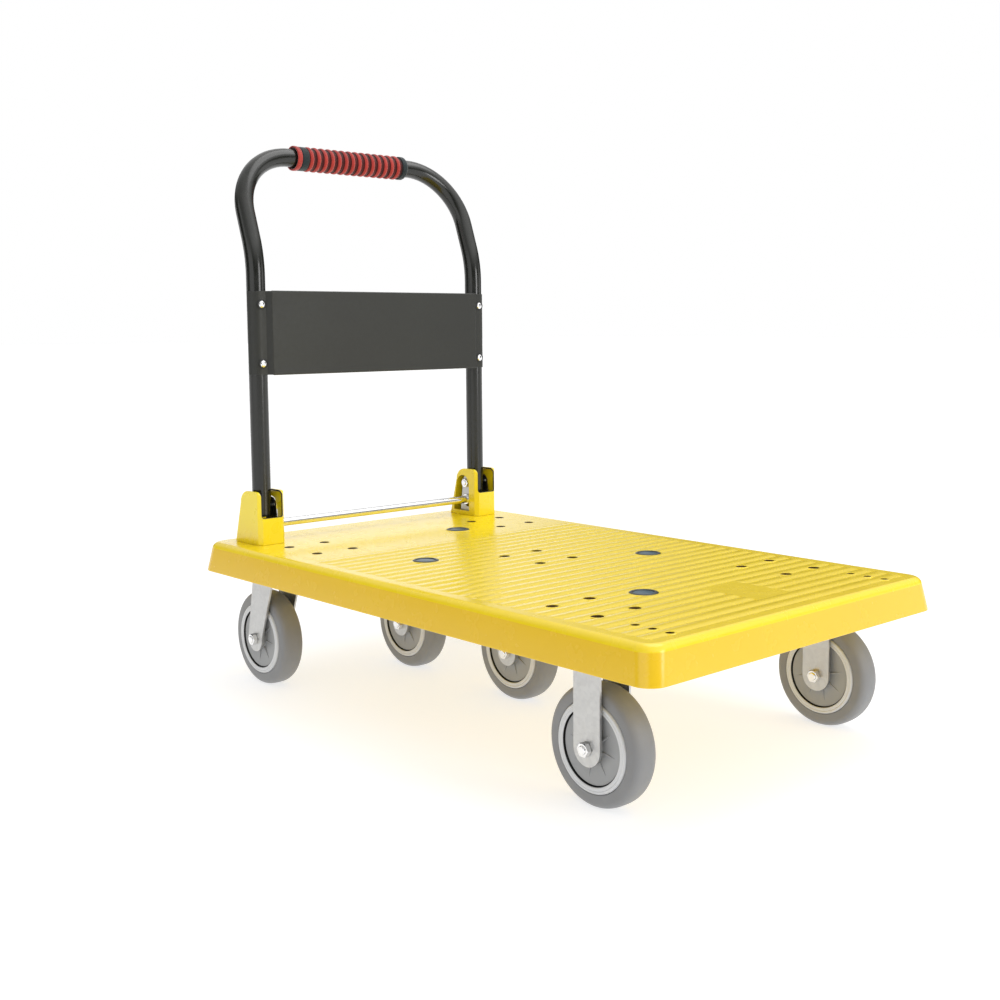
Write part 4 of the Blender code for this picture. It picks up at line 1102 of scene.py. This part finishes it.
handleForm = {
    "tube": 0.0166, "wall": 0.0015, "planeX": -0.461, "planeY": 0.2498, "pivotZ": 0.3175, "belowPivot": 0.018,
    "top": 0.970, "gripX": -0.527, "gripRadius": 0.0228, "gripHalf": 0.127, "lean": math.radians(19.5),
    "leanBend": 0.200, "cornerBend": 0.114, "pivotRadius": 0.005,
}
handleForm["gripZ"] = handleForm["top"] - handleForm["gripRadius"]


def handleLine():
    # the tube's centre line on the left side, from its foot to the middle of the grip
    form = handleForm
    kneeZ = form["gripZ"] - (form["planeX"] - form["gripX"]) / math.tan(form["lean"])
    reach = form["leanBend"] * math.tan(form["lean"] / 2)
    line = [Vector((form["planeX"], form["planeY"], form["pivotZ"] - form["belowPivot"]))]
    for step in range(4):
        line.append(Vector((form["planeX"], form["planeY"], form["pivotZ"] + 0.08 * (step + 1))))
    bendSteps = 12
    for step in range(bendSteps + 1):
        angle = form["lean"] * step / bendSteps
        line.append(Vector((form["planeX"] - form["leanBend"] * (1 - math.cos(angle)), form["planeY"],
                            kneeZ - reach + form["leanBend"] * math.sin(angle))))
    up = Vector((-math.sin(form["lean"]), 0, math.cos(form["lean"])))
    knee = Vector((form["planeX"], form["planeY"], kneeZ))
    straight = (form["gripZ"] - kneeZ) / math.cos(form["lean"]) - form["cornerBend"]
    cornerSteps = 24
    for step in range(cornerSteps + 1):
        angle = math.pi / 2 * step / cornerSteps
        inward = form["cornerBend"] * (1 - math.cos(angle))
        corner = knee + up * (straight + form["cornerBend"] * math.sin(angle))
        line.append(corner - Vector((0, inward, 0)))
    return line


def buildTube():
    left = handleLine()
    line = left + [Vector((point.x, -point.y, point.z)) for point in reversed(left)]
    mesh = drawnTube("handleTube", line, handleForm["tube"], 10)
    mesh.materials.clear()
    made = newPiece("handleTube", mesh, [finishes["tubeBlack"]])
    wall = made.modifiers.new("wall", "SOLIDIFY")
    wall.thickness = handleForm["wall"]
    wall.offset = -1
    settled(made)
    reach, radius = handleForm["planeY"] + 0.05, handleForm["pivotRadius"] + touchGap
    drill = rodMesh(radius, -reach, reach, 32)
    drill.transform(Matrix.Translation((handleForm["planeX"], 0, handleForm["pivotZ"])))
    carve(made, drill)
    smooth(made, 40)
    standsFor(made, "handle", "tube", "handle_tube")


buildTube()
print("handle tube ready")

gripForm = {"ribs": 14, "endRing": 0.0105, "darkRing": 0.0150, "farRing": 0.0150, "ribDepth": 0.0036,
            "chamfer": 0.0060}


def buildGrip():
    # finish 0 is red foam, 1 the grooves and the mouth, painted dark red as shade, 2 the black rings
    bore = handleForm["tube"] + touchGap
    outer = handleForm["gripRadius"]
    half = handleForm["gripHalf"]
    start = -half
    ringEnd = start + gripForm["endRing"]
    darkEnd = ringEnd + gripForm["darkRing"]
    ribsEnd = half - gripForm["farRing"]
    # the near end: a red flared lip round a mouth painted dark as shade, then a black ring
    profile = [(bore, start + 0.004, 1), (bore + 0.0012, start + 0.0016, 1),
               (outer - 0.0030, start + 0.0004, 0), (outer - 0.0010, start, 0),
               (outer - 0.0002, start + 0.0008, 0), (outer, start + 0.0026, 0),
               (outer - 0.0004, ringEnd - 0.0030, 0), (outer - 0.0014, ringEnd - 0.0006, 1),
               (outer - 0.0024, ringEnd, 2), (outer - 0.0012, ringEnd + 0.0008, 2),
               (outer - 0.0009, ringEnd + 0.0022, 2), (outer - 0.0009, darkEnd - 0.0022, 2),
               (outer - 0.0014, darkEnd - 0.0008, 2), (outer - 0.0028, darkEnd, 1)]
    pitch = (ribsEnd - darkEnd) / gripForm["ribs"]
    ribSteps = 10
    for rib in range(gripForm["ribs"]):
        for step in range(ribSteps):
            share = step / ribSteps
            along = darkEnd + pitch * (rib + share)
            swell = math.sin(math.pi * share / 0.70) ** 0.7 if share < 0.70 else 0.0
            radius = outer - gripForm["ribDepth"] + gripForm["ribDepth"] * swell
            # the rib's crest stays red; the rest of each pitch is painted dark as shade in the groove
            red = 0.05 < share < 0.55
            profile.append((radius, along, 0 if red else 1))
    profile += [(outer - 0.0034, ribsEnd, 2), (outer - 0.0010, ribsEnd + 0.0008, 2),
                (outer - 0.0005, ribsEnd + 0.0024, 2), (outer - 0.0005, half - gripForm["chamfer"], 2),
                (outer - 0.0012, half - gripForm["chamfer"] * 0.7, 2), (outer - 0.0044, half - 0.0008, 2),
                (outer - 0.0052, half, 2), (bore + 0.0006, half, 2), (bore, half - 0.0006, 2)]
    mesh = turnedMesh("grip", profile, 96, "Y")
    made = newPiece("gripFoam", mesh, [finishes["foamRed"], finishes["foamPaintedShade"], finishes["foamBlack"]],
                    (handleForm["gripX"], 0, handleForm["gripZ"]))
    smooth(made, 50)
    standsFor(made, "handle", "grip", "grip")


buildGrip()
print("grip ready")

panelForm = {"low": 0.5530, "high": 0.7005, "sheet": 0.0012, "forward": 0.0085, "flatIn": 0.0090,
             "stepIn": 0.0165, "bend": 0.0016, "hem": 0.0085, "hemRise": 0.0007,
             "screwHeights": (0.5725, 0.6770), "screwRadius": 0.0030, "edgeRound": 0.0003}


def roundedCorner(before, corner, after, radius, steps=4):
    # points that round one corner of an open line
    back, ahead = (before - corner).normalized(), (after - corner).normalized()
    trim = min(radius, (before - corner).length * 0.45, (after - corner).length * 0.45)
    first, last = corner + back * trim, corner + ahead * trim
    shares = [step / steps for step in range(steps + 1)]
    return [first.lerp(corner, share).lerp(corner.lerp(last, share), share) for share in shares]


def panelSection():
    # the panel in plan: a saddle over each tube and a step forward between them
    radius = handleForm["tube"] + touchGap
    centreY = handleForm["planeY"]
    left = [Vector((radius * math.cos(a), centreY + radius * math.sin(a)))
            for a in (math.radians(90 - 5 * step) for step in range(19))]
    field = radius + panelForm["forward"]
    first = Vector((radius, centreY - panelForm["flatIn"]))
    second = Vector((field, centreY - panelForm["stepIn"]))
    third = Vector((field, 0.0))
    left += roundedCorner(left[-1], first, second, panelForm["bend"])
    left += roundedCorner(first, second, third, panelForm["bend"])
    left += [Vector((field, second.y * (1 - step / 6))) for step in range(1, 6)]
    return left + [third] + [Vector((point.x, -point.y)) for point in reversed(left)]


def buildPanel():
    section = panelSection()
    low, high, hem, rise = panelForm["low"], panelForm["high"], panelForm["hem"], panelForm["hemRise"]
    levels = [(low, 0.0), (low + 0.0008, rise), (low + hem, rise), (low + hem + 0.0012, 0.0)]
    levels += [(low + hem + 0.0012 + (high - low - 2 * hem - 0.0024) * step / 8, 0.0) for step in range(1, 8)]
    levels += [(high - hem - 0.0012, 0.0), (high - hem, rise), (high - 0.0008, rise), (high, 0.0)]
    shape = bmesh.new()
    rows = []
    for z, lift in levels:
        row = []
        for point in section:
            inner = abs(point.y) < handleForm["planeY"] - panelForm["stepIn"]
            x = handleForm["planeX"] + point.x + (lift if inner else 0.0)
            row.append(shape.verts.new((x, point.y, z)))
        rows.append(row)
    for near, far in zip(rows, rows[1:]):
        for index in range(len(section) - 1):
            shape.faces.new((near[index], near[index + 1], far[index + 1], far[index]))
    mesh = meshOf("handlePanel", shape)
    made = newPiece("handlePanel", mesh, [finishes["panelCharcoal"]])
    sheet = made.modifiers.new("sheet", "SOLIDIFY")
    sheet.thickness = panelForm["sheet"]
    middle = min(mesh.polygons, key=lambda face: abs(face.center.y))
    sheet.offset = 1 if middle.normal.x > 0 else -1
    settled(made)
    drills = []
    radius = panelForm["screwRadius"] + touchGap
    for side in (-1, 1):
        for z in panelForm["screwHeights"]:
            mesh = rodMesh(radius, -0.006, 0.006, 20, "X")
            mesh.transform(Matrix.Translation((handleForm["planeX"] + handleForm["tube"] + 0.001,
                                               side * handleForm["planeY"], z)))
            drills.append(mesh)
    carve(made, joined("drills", drills))
    roundEdges(made, panelForm["edgeRound"], 1, 60)
    smooth(made, 35)
    standsFor(made, "handle", "panel", "handle_panel")


buildPanel()

screwForm = {"dome": 0.0062, "rise": 0.0030, "ring": 0.0088, "ringHeight": 0.0009, "shank": 0.0030,
             "length": 0.0050}


def buildPanelScrews():
    # finish 0 is the bright dome, 1 the black ring under it
    form = screwForm
    profile = [(0.0, form["rise"], 0)]
    for step in range(1, 9):
        lean = math.radians(90 * step / 9)
        profile.append((form["dome"] * math.sin(lean),
                        form["ringHeight"] + (form["rise"] - form["ringHeight"]) * math.cos(lean), 0))
    profile += [(form["dome"], form["ringHeight"], 1), (form["ring"] - 0.0006, form["ringHeight"], 1),
                (form["ring"], form["ringHeight"] * 0.5, 1), (form["ring"], 0.0, 1), (form["shank"], 0.0, 0),
                (form["shank"], -form["length"], 0), (0.0, -form["length"], 0)]
    mesh = turnedMesh("panelScrew", profile, 48, "X")
    seat = handleForm["planeX"] + handleForm["tube"] + touchGap + panelForm["sheet"] + touchGap
    for sideName, side in (("right", -1), ("left", 1)):
        for level, z in zip(("lower", "upper"), panelForm["screwHeights"]):
            made = newPiece(f"panelScrew_{sideName}_{level}", mesh,
                            [finishes["brightSteel"], finishes["blackPlasticAndPaintedShade"]],
                            (seat, side * handleForm["planeY"], z))
            smooth(made, 40)
            standsFor(made, "handle", "screw_steel", f"panel_screw_{sideName}_{level}")


buildPanelScrews()
print("panel ready")


# hinge brackets

coverForm = {
    "rear": -0.509, "front": -0.425, "top": 0.3465, "half": 0.0268, "wall": 0.0026, "slotHalf": 0.0207,
    "slotBottom": 0.3000, "slotRear": -0.4825, "window": (-0.4690, 0.3135), "windowRadius": 0.0195,
    "windowFoot": 0.2600, "edgeRound": 0.0030, "chamfer": 0.0068, "shadowSink": 0.0003, "shadowWidth": 0.0011,
    "crownRadius": 0.0265, "noseRadius": 0.0140, "windowRear": 0.0295, "windowStart": 160,
    "slotCorner": 0.004, "past": 0.02,
}
bracketForm = {"earOffset": 0.0180, "earThickness": 0.0025, "base": 0.003, "baseRear": -0.492,
               "baseFront": -0.430, "earHalf": 0.0225, "earTop": 0.0150, "barRadius": 0.0075, "barX": -0.461,
               "barZ": 0.2835, "barTravel": 0.007, "collar": 0.0105, "collarLength": 0.005,
               "nutHeight": 0.008, "headHeight": 0.003, "coilRadius": 0.0052, "coilWire": 0.0007,
               "coilTurns": 5, "rivet": 0.0026, "rivetPlace": (-0.4505, 0.3195), "pivotHeadAcross": 0.016,
               "pivotNutAcross": 0.017, "edgeRound": 0.0004}


def coverOutline(inset):
    form = coverForm
    base = deckForm["border"] + touchGap
    crown = arcPoints((form["rear"] + 0.0455, form["top"] - form["crownRadius"]), form["crownRadius"] - inset,
                      158, 90, 10)
    nose = arcPoints((form["front"] - form["noseRadius"], form["top"] - form["noseRadius"]),
                     form["noseRadius"] - inset, 90, 0, 9)
    return [(form["rear"] + inset, base), (form["rear"] + 0.0205 + inset, form["top"] - 0.022), *crown, *nose,
            (form["front"] - inset, base)]


def coverBody(name, centre, inset, bury=0.0):
    # the cover's outside, or with an inset the hollow inside it; its upright front edges are cut at a slant
    form = coverForm
    half = form["half"] - inset
    outline = [(x, z - (bury if z < deckForm["border"] + 0.002 else 0)) for x, z in coverOutline(inset)]
    made = newPiece(name, slabMesh(name, outline, centre - half, centre + half), [finishes["coverYellow"]])
    slant = form["chamfer"] - inset * 0.6
    front = form["front"] - inset
    for edge, inward in ((centre - half, 1), (centre + half, -1)):
        corner = [(front + 0.002, edge - 0.002 * inward), (front - slant, edge - 0.002 * inward),
                  (front - slant, edge), (front, edge + inward * slant),
                  (front + 0.002, edge + inward * slant)]
        carve(made, slabMesh("slant", corner, 0.2, 0.4, "Z"))
    return made


def slotOutline(centre, margin):
    form = coverForm
    half, foot, corner = form["slotHalf"] + margin, form["slotBottom"] - margin, form["slotCorner"] + margin
    return [*arcPoints((centre - half + corner, foot + corner), corner, 180, 270, 5),
            *arcPoints((centre + half - corner, foot + corner), corner, 270, 360, 5),
            (centre + half, form["top"] + form["past"]), (centre - half, form["top"] + form["past"])]


def buildCover(sideName, side):
    form = coverForm
    centre = side * handleForm["planeY"]
    made = coverBody(f"bracketCover_{sideName}", centre, 0.0)
    roundEdges(made, form["edgeRound"], 4, 28)
    hollow = takenMesh(coverBody("hollow", centre, form["wall"], form["past"]))
    slotEnd = form["front"] + form["past"]
    slot = slabMesh("slot", slotOutline(centre, 0.0), form["slotRear"], slotEnd, "X")
    # a shallow black band round the slot's edge: painted shadow for the dark gap between the cover and the
    # tube
    band = slabMesh("band", slotOutline(centre, form["shadowWidth"]), form["slotRear"] + 0.004, slotEnd, "X")
    for cutter in (hollow, slot, band):
        carve(made, cutter)
    trim = coverBody(f"slotShadowBand_{sideName}", centre, form["shadowSink"])
    trim.data.materials.clear()
    trim.data.materials.append(finishes["blackPlasticAndPaintedShade"])
    carve(trim, band, "INTERSECT")
    for cutter in (slot, hollow):
        carve(trim, cutter)
    inner = centre - side * form["half"]
    window = [(form["window"][0] - form["windowRear"], form["windowFoot"]),
              *arcPoints(form["window"], form["windowRadius"], form["windowStart"], 0, 18),
              (form["window"][0] + form["windowRadius"], form["windowFoot"])]
    carve(made, slabMesh("window", window, inner - 0.004, inner + 0.004))
    for piece in (made, trim):
        smooth(piece, 35)
    standsFor(made, "chassis", "cover", f"bracket_cover_{sideName}")
    standsFor(trim, "chassis", "bracket_steel")


def buildHingeBracket(sideName, side):
    # two ears on a base; plated outside, and the faces beside the tube painted black as shade on the same
    # plated steel
    form = bracketForm
    centre = side * handleForm["planeY"]
    outer = form["earOffset"] + form["earThickness"]
    floor = deckForm["border"] + touchGap
    name = f"hingeBracket_{sideName}"
    base = roundedOutline(form["baseRear"], centre - outer, form["baseFront"], centre + outer, 0.004)
    made = newPiece(name, slabMesh(name, base, floor, floor + form["base"], "Z"),
                    [finishes["zincPlate"], finishes["blackPlasticAndPaintedShade"], finishes["brightSteel"]])
    pivot = (handleForm["planeX"], handleForm["pivotZ"])
    ear = [(pivot[0] - form["earHalf"], floor + 0.001), *arcPoints(pivot, form["earTop"], 165, 15, 20),
           (pivot[0] + form["earHalf"], floor + 0.001)]
    for sign in (-1, 1):
        low, high = sorted((centre + sign * form["earOffset"], centre + sign * outer))
        carve(made, slabMesh("ear", ear, low, high), "UNION")
    guide = form["barRadius"] + touchGap
    slot = [*arcPoints((form["barX"], form["barZ"]), guide, 0, 180, 16),
            *arcPoints((form["barX"], form["barZ"] - form["barTravel"] - 0.0005), guide, 180, 360, 16)]
    carve(made, slabMesh("barSlot", slot, centre - 0.05, centre + 0.05))
    bore = handleForm["pivotRadius"] + touchGap
    carve(made, slabMesh("bore", arcPoints(pivot, bore, 0, 348.75, 31), centre - 0.05, centre + 0.05))
    roundEdges(made, form["edgeRound"], 2, 50)
    # faces beside the tube take finish 1, black: painted shade, the steel there being plated like the rest
    for face in made.data.polygons:
        plated = abs(face.center.y - centre) > outer - 0.0002 or face.center.z < floor + form["base"] + 0.0005
        face.material_index = 0 if plated else 1
    for sign in (-1, 1):
        rivet = [(0.0, 0.0011, 0), (form["rivet"] * 0.5, 0.0010, 0), (form["rivet"] * 0.85, 0.0006, 0),
                 (form["rivet"], 0.0, 0), (form["rivet"], -0.001, 0), (0.0, -0.001, 0)]
        mesh = turnedMesh("rivet", rivet, 28, "Y")
        for finish in ("zincPlate", "blackPlasticAndPaintedShade", "brightSteel"):
            mesh.materials.append(finishes[finish])
        mesh.transform(Matrix.Rotation(0 if sign < 0 else math.pi, 4, "X"))
        mesh.transform(Matrix.Translation((form["rivetPlace"][0], centre + sign * form["earOffset"],
                                           form["rivetPlace"][1])))
        carve(made, mesh, "UNION")
    smooth(made, 40)
    standsFor(made, "chassis", "bracket_steel", f"hinge_bracket_{sideName}")


def buildPivot(sideName, side):
    form = bracketForm
    face = form["earOffset"] + form["earThickness"] + touchGap
    at = (handleForm["planeX"], side * handleForm["planeY"], handleForm["pivotZ"])
    radius = handleForm["pivotRadius"]
    head = hexMesh("pivotHead", form["pivotHeadAcross"], face, face + form["headHeight"])
    shank = rodMesh(radius, -face, face + 0.001, 36)
    end = threadedRod("pivotEnd", radius, face - 0.0002, face + form["nutHeight"] + 0.0015)
    end.transform(Matrix.Rotation(math.pi, 4, "X"))
    bolt = joined("pivotBolt", [head, shank, end])
    nut = hexMesh("pivotNut", form["pivotNutAcross"], -face - form["nutHeight"], -face, radius + touchGap)
    if side < 0:
        for mesh in (bolt, nut):
            mesh.transform(Matrix.Rotation(math.pi, 4, "Z"))
    for kind, mesh in (("Bolt", bolt), ("Nut", nut)):
        made = newPiece(f"pivot{kind}_{sideName}", mesh, [finishes["brightSteel"]], at)
        smooth(made, 30)
        standsFor(made, "chassis", "pivot_steel", f"pivot_{kind.lower()}_{sideName}")


def buildReleaseBar():
    form = bracketForm
    end = handleForm["planeY"] + form["earOffset"] + 0.002
    collarOut = handleForm["planeY"] - form["earOffset"] - form["earThickness"] - 0.0008
    collarIn = collarOut - form["collarLength"]
    radius, collar = form["barRadius"], form["collar"]
    half = [(0.0, end), (radius - 0.0008, end), (radius, end - 0.0008), (radius, collarOut),
            (collar - 0.0005, collarOut), (collar, collarOut - 0.0005), (collar, collarIn + 0.0005),
            (collar - 0.0005, collarIn), (radius, collarIn)]
    profile = [(r, h, 0) for r, h in half] + [(r, -h, 0) for r, h in reversed(half)]
    made = newPiece("releaseBar", turnedMesh("releaseBar", profile, 64, "Y"), [finishes["brightSteel"]],
                    (form["barX"], 0, form["barZ"]))
    smooth(made, 35)
    standsFor(made, "release_bar", "bar_chrome", "release_bar")


def buildReturnSpring(sideName, side):
    # a coil with flat ground ends between the bracket's base and the bar
    form = bracketForm
    node = f"return_spring_{sideName}"
    low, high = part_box(node)
    wire = form["coilWire"]
    pointsPerTurn = 24
    count = form["coilTurns"] * pointsPerTurn
    points = []
    for index in range(count + 1):
        share = index / count
        climb = min(1.0, max(0.0, (share - 0.12) / 0.76))
        angle = 2 * math.pi * form["coilTurns"] * share
        points.append((form["barX"] + form["coilRadius"] * math.cos(angle),
                       side * handleForm["planeY"] + form["coilRadius"] * math.sin(angle),
                       low.z + wire + (high.z - low.z - 2 * wire) * climb))
    mesh = drawnTube(f"returnSpring_{sideName}", points, wire, 3, capped=True)
    mesh.materials.clear()
    made = newPiece(f"returnSpring_{sideName}", mesh, [finishes["brightSteel"]])
    mesh.shade_smooth()
    standsFor(made, "chassis", "spring_steel", node)
    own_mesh(made)


for sideName, side in (("right", -1), ("left", 1)):
    buildCover(sideName, side)
    buildHingeBracket(sideName, side)
    buildPivot(sideName, side)
    buildReturnSpring(sideName, side)
buildReleaseBar()
print("hinge brackets ready")


# floor, light and camera

studio = {
    "floorSize": 80.0, "floorColor": rgb(0.46, 0.46, 0.46), "floorShade": rgb(0.44, 0.44, 0.44),
    "floorGlow": 0.68, "backdrop": 1.0, "skyTop": 0.95, "skyLevel": 0.72, "skyBelow": 0.35,
    "brightSide": (0.95, 0.30), "brightGain": 0.70, "darkSide": (-0.35, -0.94), "darkLoss": 0.45,
    "bandFloor": 0.09, "bandHeight": (0.22, 0.50), "stripGlow": 1.15,
    "stripSoft": 5,  # degrees over which a strip's edge fades
    "strips": [(-78, 27), (63, 12), (150, 16), (-165, 10)],  # bearing and half width, in degrees
    "lights": [  # name, place, aim, size, watts
        ("overhead", (0.2, 0.9, 3.0), (0.0, 0.0, 0.25), 2.4, 27.0),
        ("frontEnd", (3.6, 1.1, 1.1), (0.3, 0.0, 0.3), 1.5, 32.0),
        ("handleSide", (-1.4, -3.2, 1.9), (0.0, 0.0, 0.4), 1.2, 3.0),
    ],
}


def buildFloor():
    shape = bmesh.new()
    bmesh.ops.create_grid(shape, x_segments=8, y_segments=8, size=studio["floorSize"] / 2)
    made, tree, shader = newFinish("floorPaint", Roughness=0.7, Specular_IOR_Level=0.15,
                                   Emission_Strength=studio["floorGlow"], Emission_Color=rgb(1.0, 1.0, 1.0))
    tone = effect(tree, "toneDrift", {"Color": studio["floorColor"], "Shade": studio["floorShade"],
                                      "Amount": 0.3, "Scale": 0.8, "Speck": 0.0})
    tree.links.new(tone.outputs["Color"], shader.inputs["Base Color"])
    floor = newPiece("studioFloor", meshOf("studioFloor", shape), [made])


def buildWorld():
    # white behind the cart; for light and reflections a bright sky, a bright end, a dim side, and
    # near the horizon a dark band with bright strips in it
    world = bpy.data.worlds.new("studioWorld")
    scene.world = world
    world.use_nodes = True
    tree = world.node_tree
    backdrop = tree.nodes["Background"]
    backdrop.inputs["Color"].default_value = rgb(1.0, 1.0, 1.0)
    toward = addNode(tree, "TexCoord").outputs["Generated"]
    split = addNode(tree, "SeparateXYZ", {"Vector": toward})
    rise = split.outputs["Z"]
    upper = stretchNode(tree, rise, 0.0, 0.9, studio["skyLevel"], studio["skyTop"])
    level = mathNode(tree, "MULTIPLY", upper, stretchNode(tree, rise, -0.5, 0.02, studio["skyBelow"], 1.0))
    for label, gain in (("brightSide", studio["brightGain"]), ("darkSide", -studio["darkLoss"])):
        across, along = studio[label]
        facing = mathNode(tree, "ADD", mathNode(tree, "MULTIPLY", split.outputs["X"], across),
                          mathNode(tree, "MULTIPLY", split.outputs["Y"], along))
        share = addNode(tree, "MapRange", {"Value": facing, "From Min": 0.2, "From Max": 0.95, "To Min": 0.0,
                                           "To Max": gain}, interpolation_type="SMOOTHSTEP").outputs["Result"]
        level = mathNode(tree, "ADD", level, share)
    strips = 0.0
    for bearing, half in studio["strips"]:
        turned = math.radians(bearing)
        facing = mathNode(tree, "ADD", mathNode(tree, "MULTIPLY", split.outputs["X"], math.cos(turned)),
                          mathNode(tree, "MULTIPLY", split.outputs["Y"], math.sin(turned)))
        strip = addNode(tree, "MapRange",
                        {"Value": facing, "From Min": math.cos(math.radians(half + studio["stripSoft"])),
                                           "From Max": math.cos(math.radians(half - studio["stripSoft"])),
                         "To Min": 0.0,
                                           "To Max": studio["stripGlow"]}, interpolation_type="SMOOTHSTEP")
        strips = mathNode(tree, "ADD", strip.outputs["Result"], strips)
    clear = stretchNode(tree, rise, *studio["bandHeight"])
    dim = mathNode(tree, "MULTIPLY", level,
                   stretchNode(tree, rise, *studio["bandHeight"], studio["bandFloor"], 1.0))
    lit = mathNode(tree, "ADD", dim,
                   mathNode(tree, "MULTIPLY", strips, mathNode(tree, "SUBTRACT", 1.0, clear)))
    seen = addNode(tree, "LightPath").outputs["Is Camera Ray"]
    strength = mixNode(tree, seen, lit, rgb(studio["backdrop"], studio["backdrop"], studio["backdrop"]))
    tree.links.new(strength, backdrop.inputs["Strength"])


def buildLights():
    for name, place, aim, size, watts in studio["lights"]:
        lamp = bpy.data.lights.new(name, "AREA")
        lamp.shape = "DISK"
        lamp.size = size
        lamp.energy = watts
        made = bpy.data.objects.new(name, lamp)
        scene.collection.objects.link(made)
        made.location = place
        made.rotation_euler = (Vector(aim) - Vector(place)).to_track_quat("-Z", "Y").to_euler()


viewpoint = {"azimuth": 46.8059, "elevation": 5.9732, "roll": -0.2993, "place": (1.5737, -1.4542, 0.6420),
             "lens": 46.63, "shift": (-0.0480, -0.0416)}


def buildCamera():
    lens = bpy.data.cameras.new("camera")
    lens.sensor_width = 36.0
    lens.lens = viewpoint["lens"]
    lens.shift_x, lens.shift_y = viewpoint["shift"]
    lens.clip_start, lens.clip_end = 0.05, 100.0
    made = bpy.data.objects.new("camera", lens)
    scene.collection.objects.link(made)
    turn, rise = math.radians(viewpoint["azimuth"]), math.radians(viewpoint["elevation"])
    back = Vector((math.sin(turn) * math.cos(rise), -math.cos(turn) * math.cos(rise), math.sin(rise)))
    right = Vector((0, 0, 1)).cross(back).normalized()
    up = back.cross(right)
    facing = Matrix((right, up, back)).transposed()
    tilt = Matrix.Rotation(math.radians(viewpoint["roll"]), 3, "Z")
    made.matrix_world = Matrix.Translation(viewpoint["place"]) @ (facing @ tilt).to_4x4()
    scene.camera = made


buildFloor()
buildWorld()
buildLights()
buildCamera()
scene.view_settings.view_transform = "Standard"
print("studio ready")
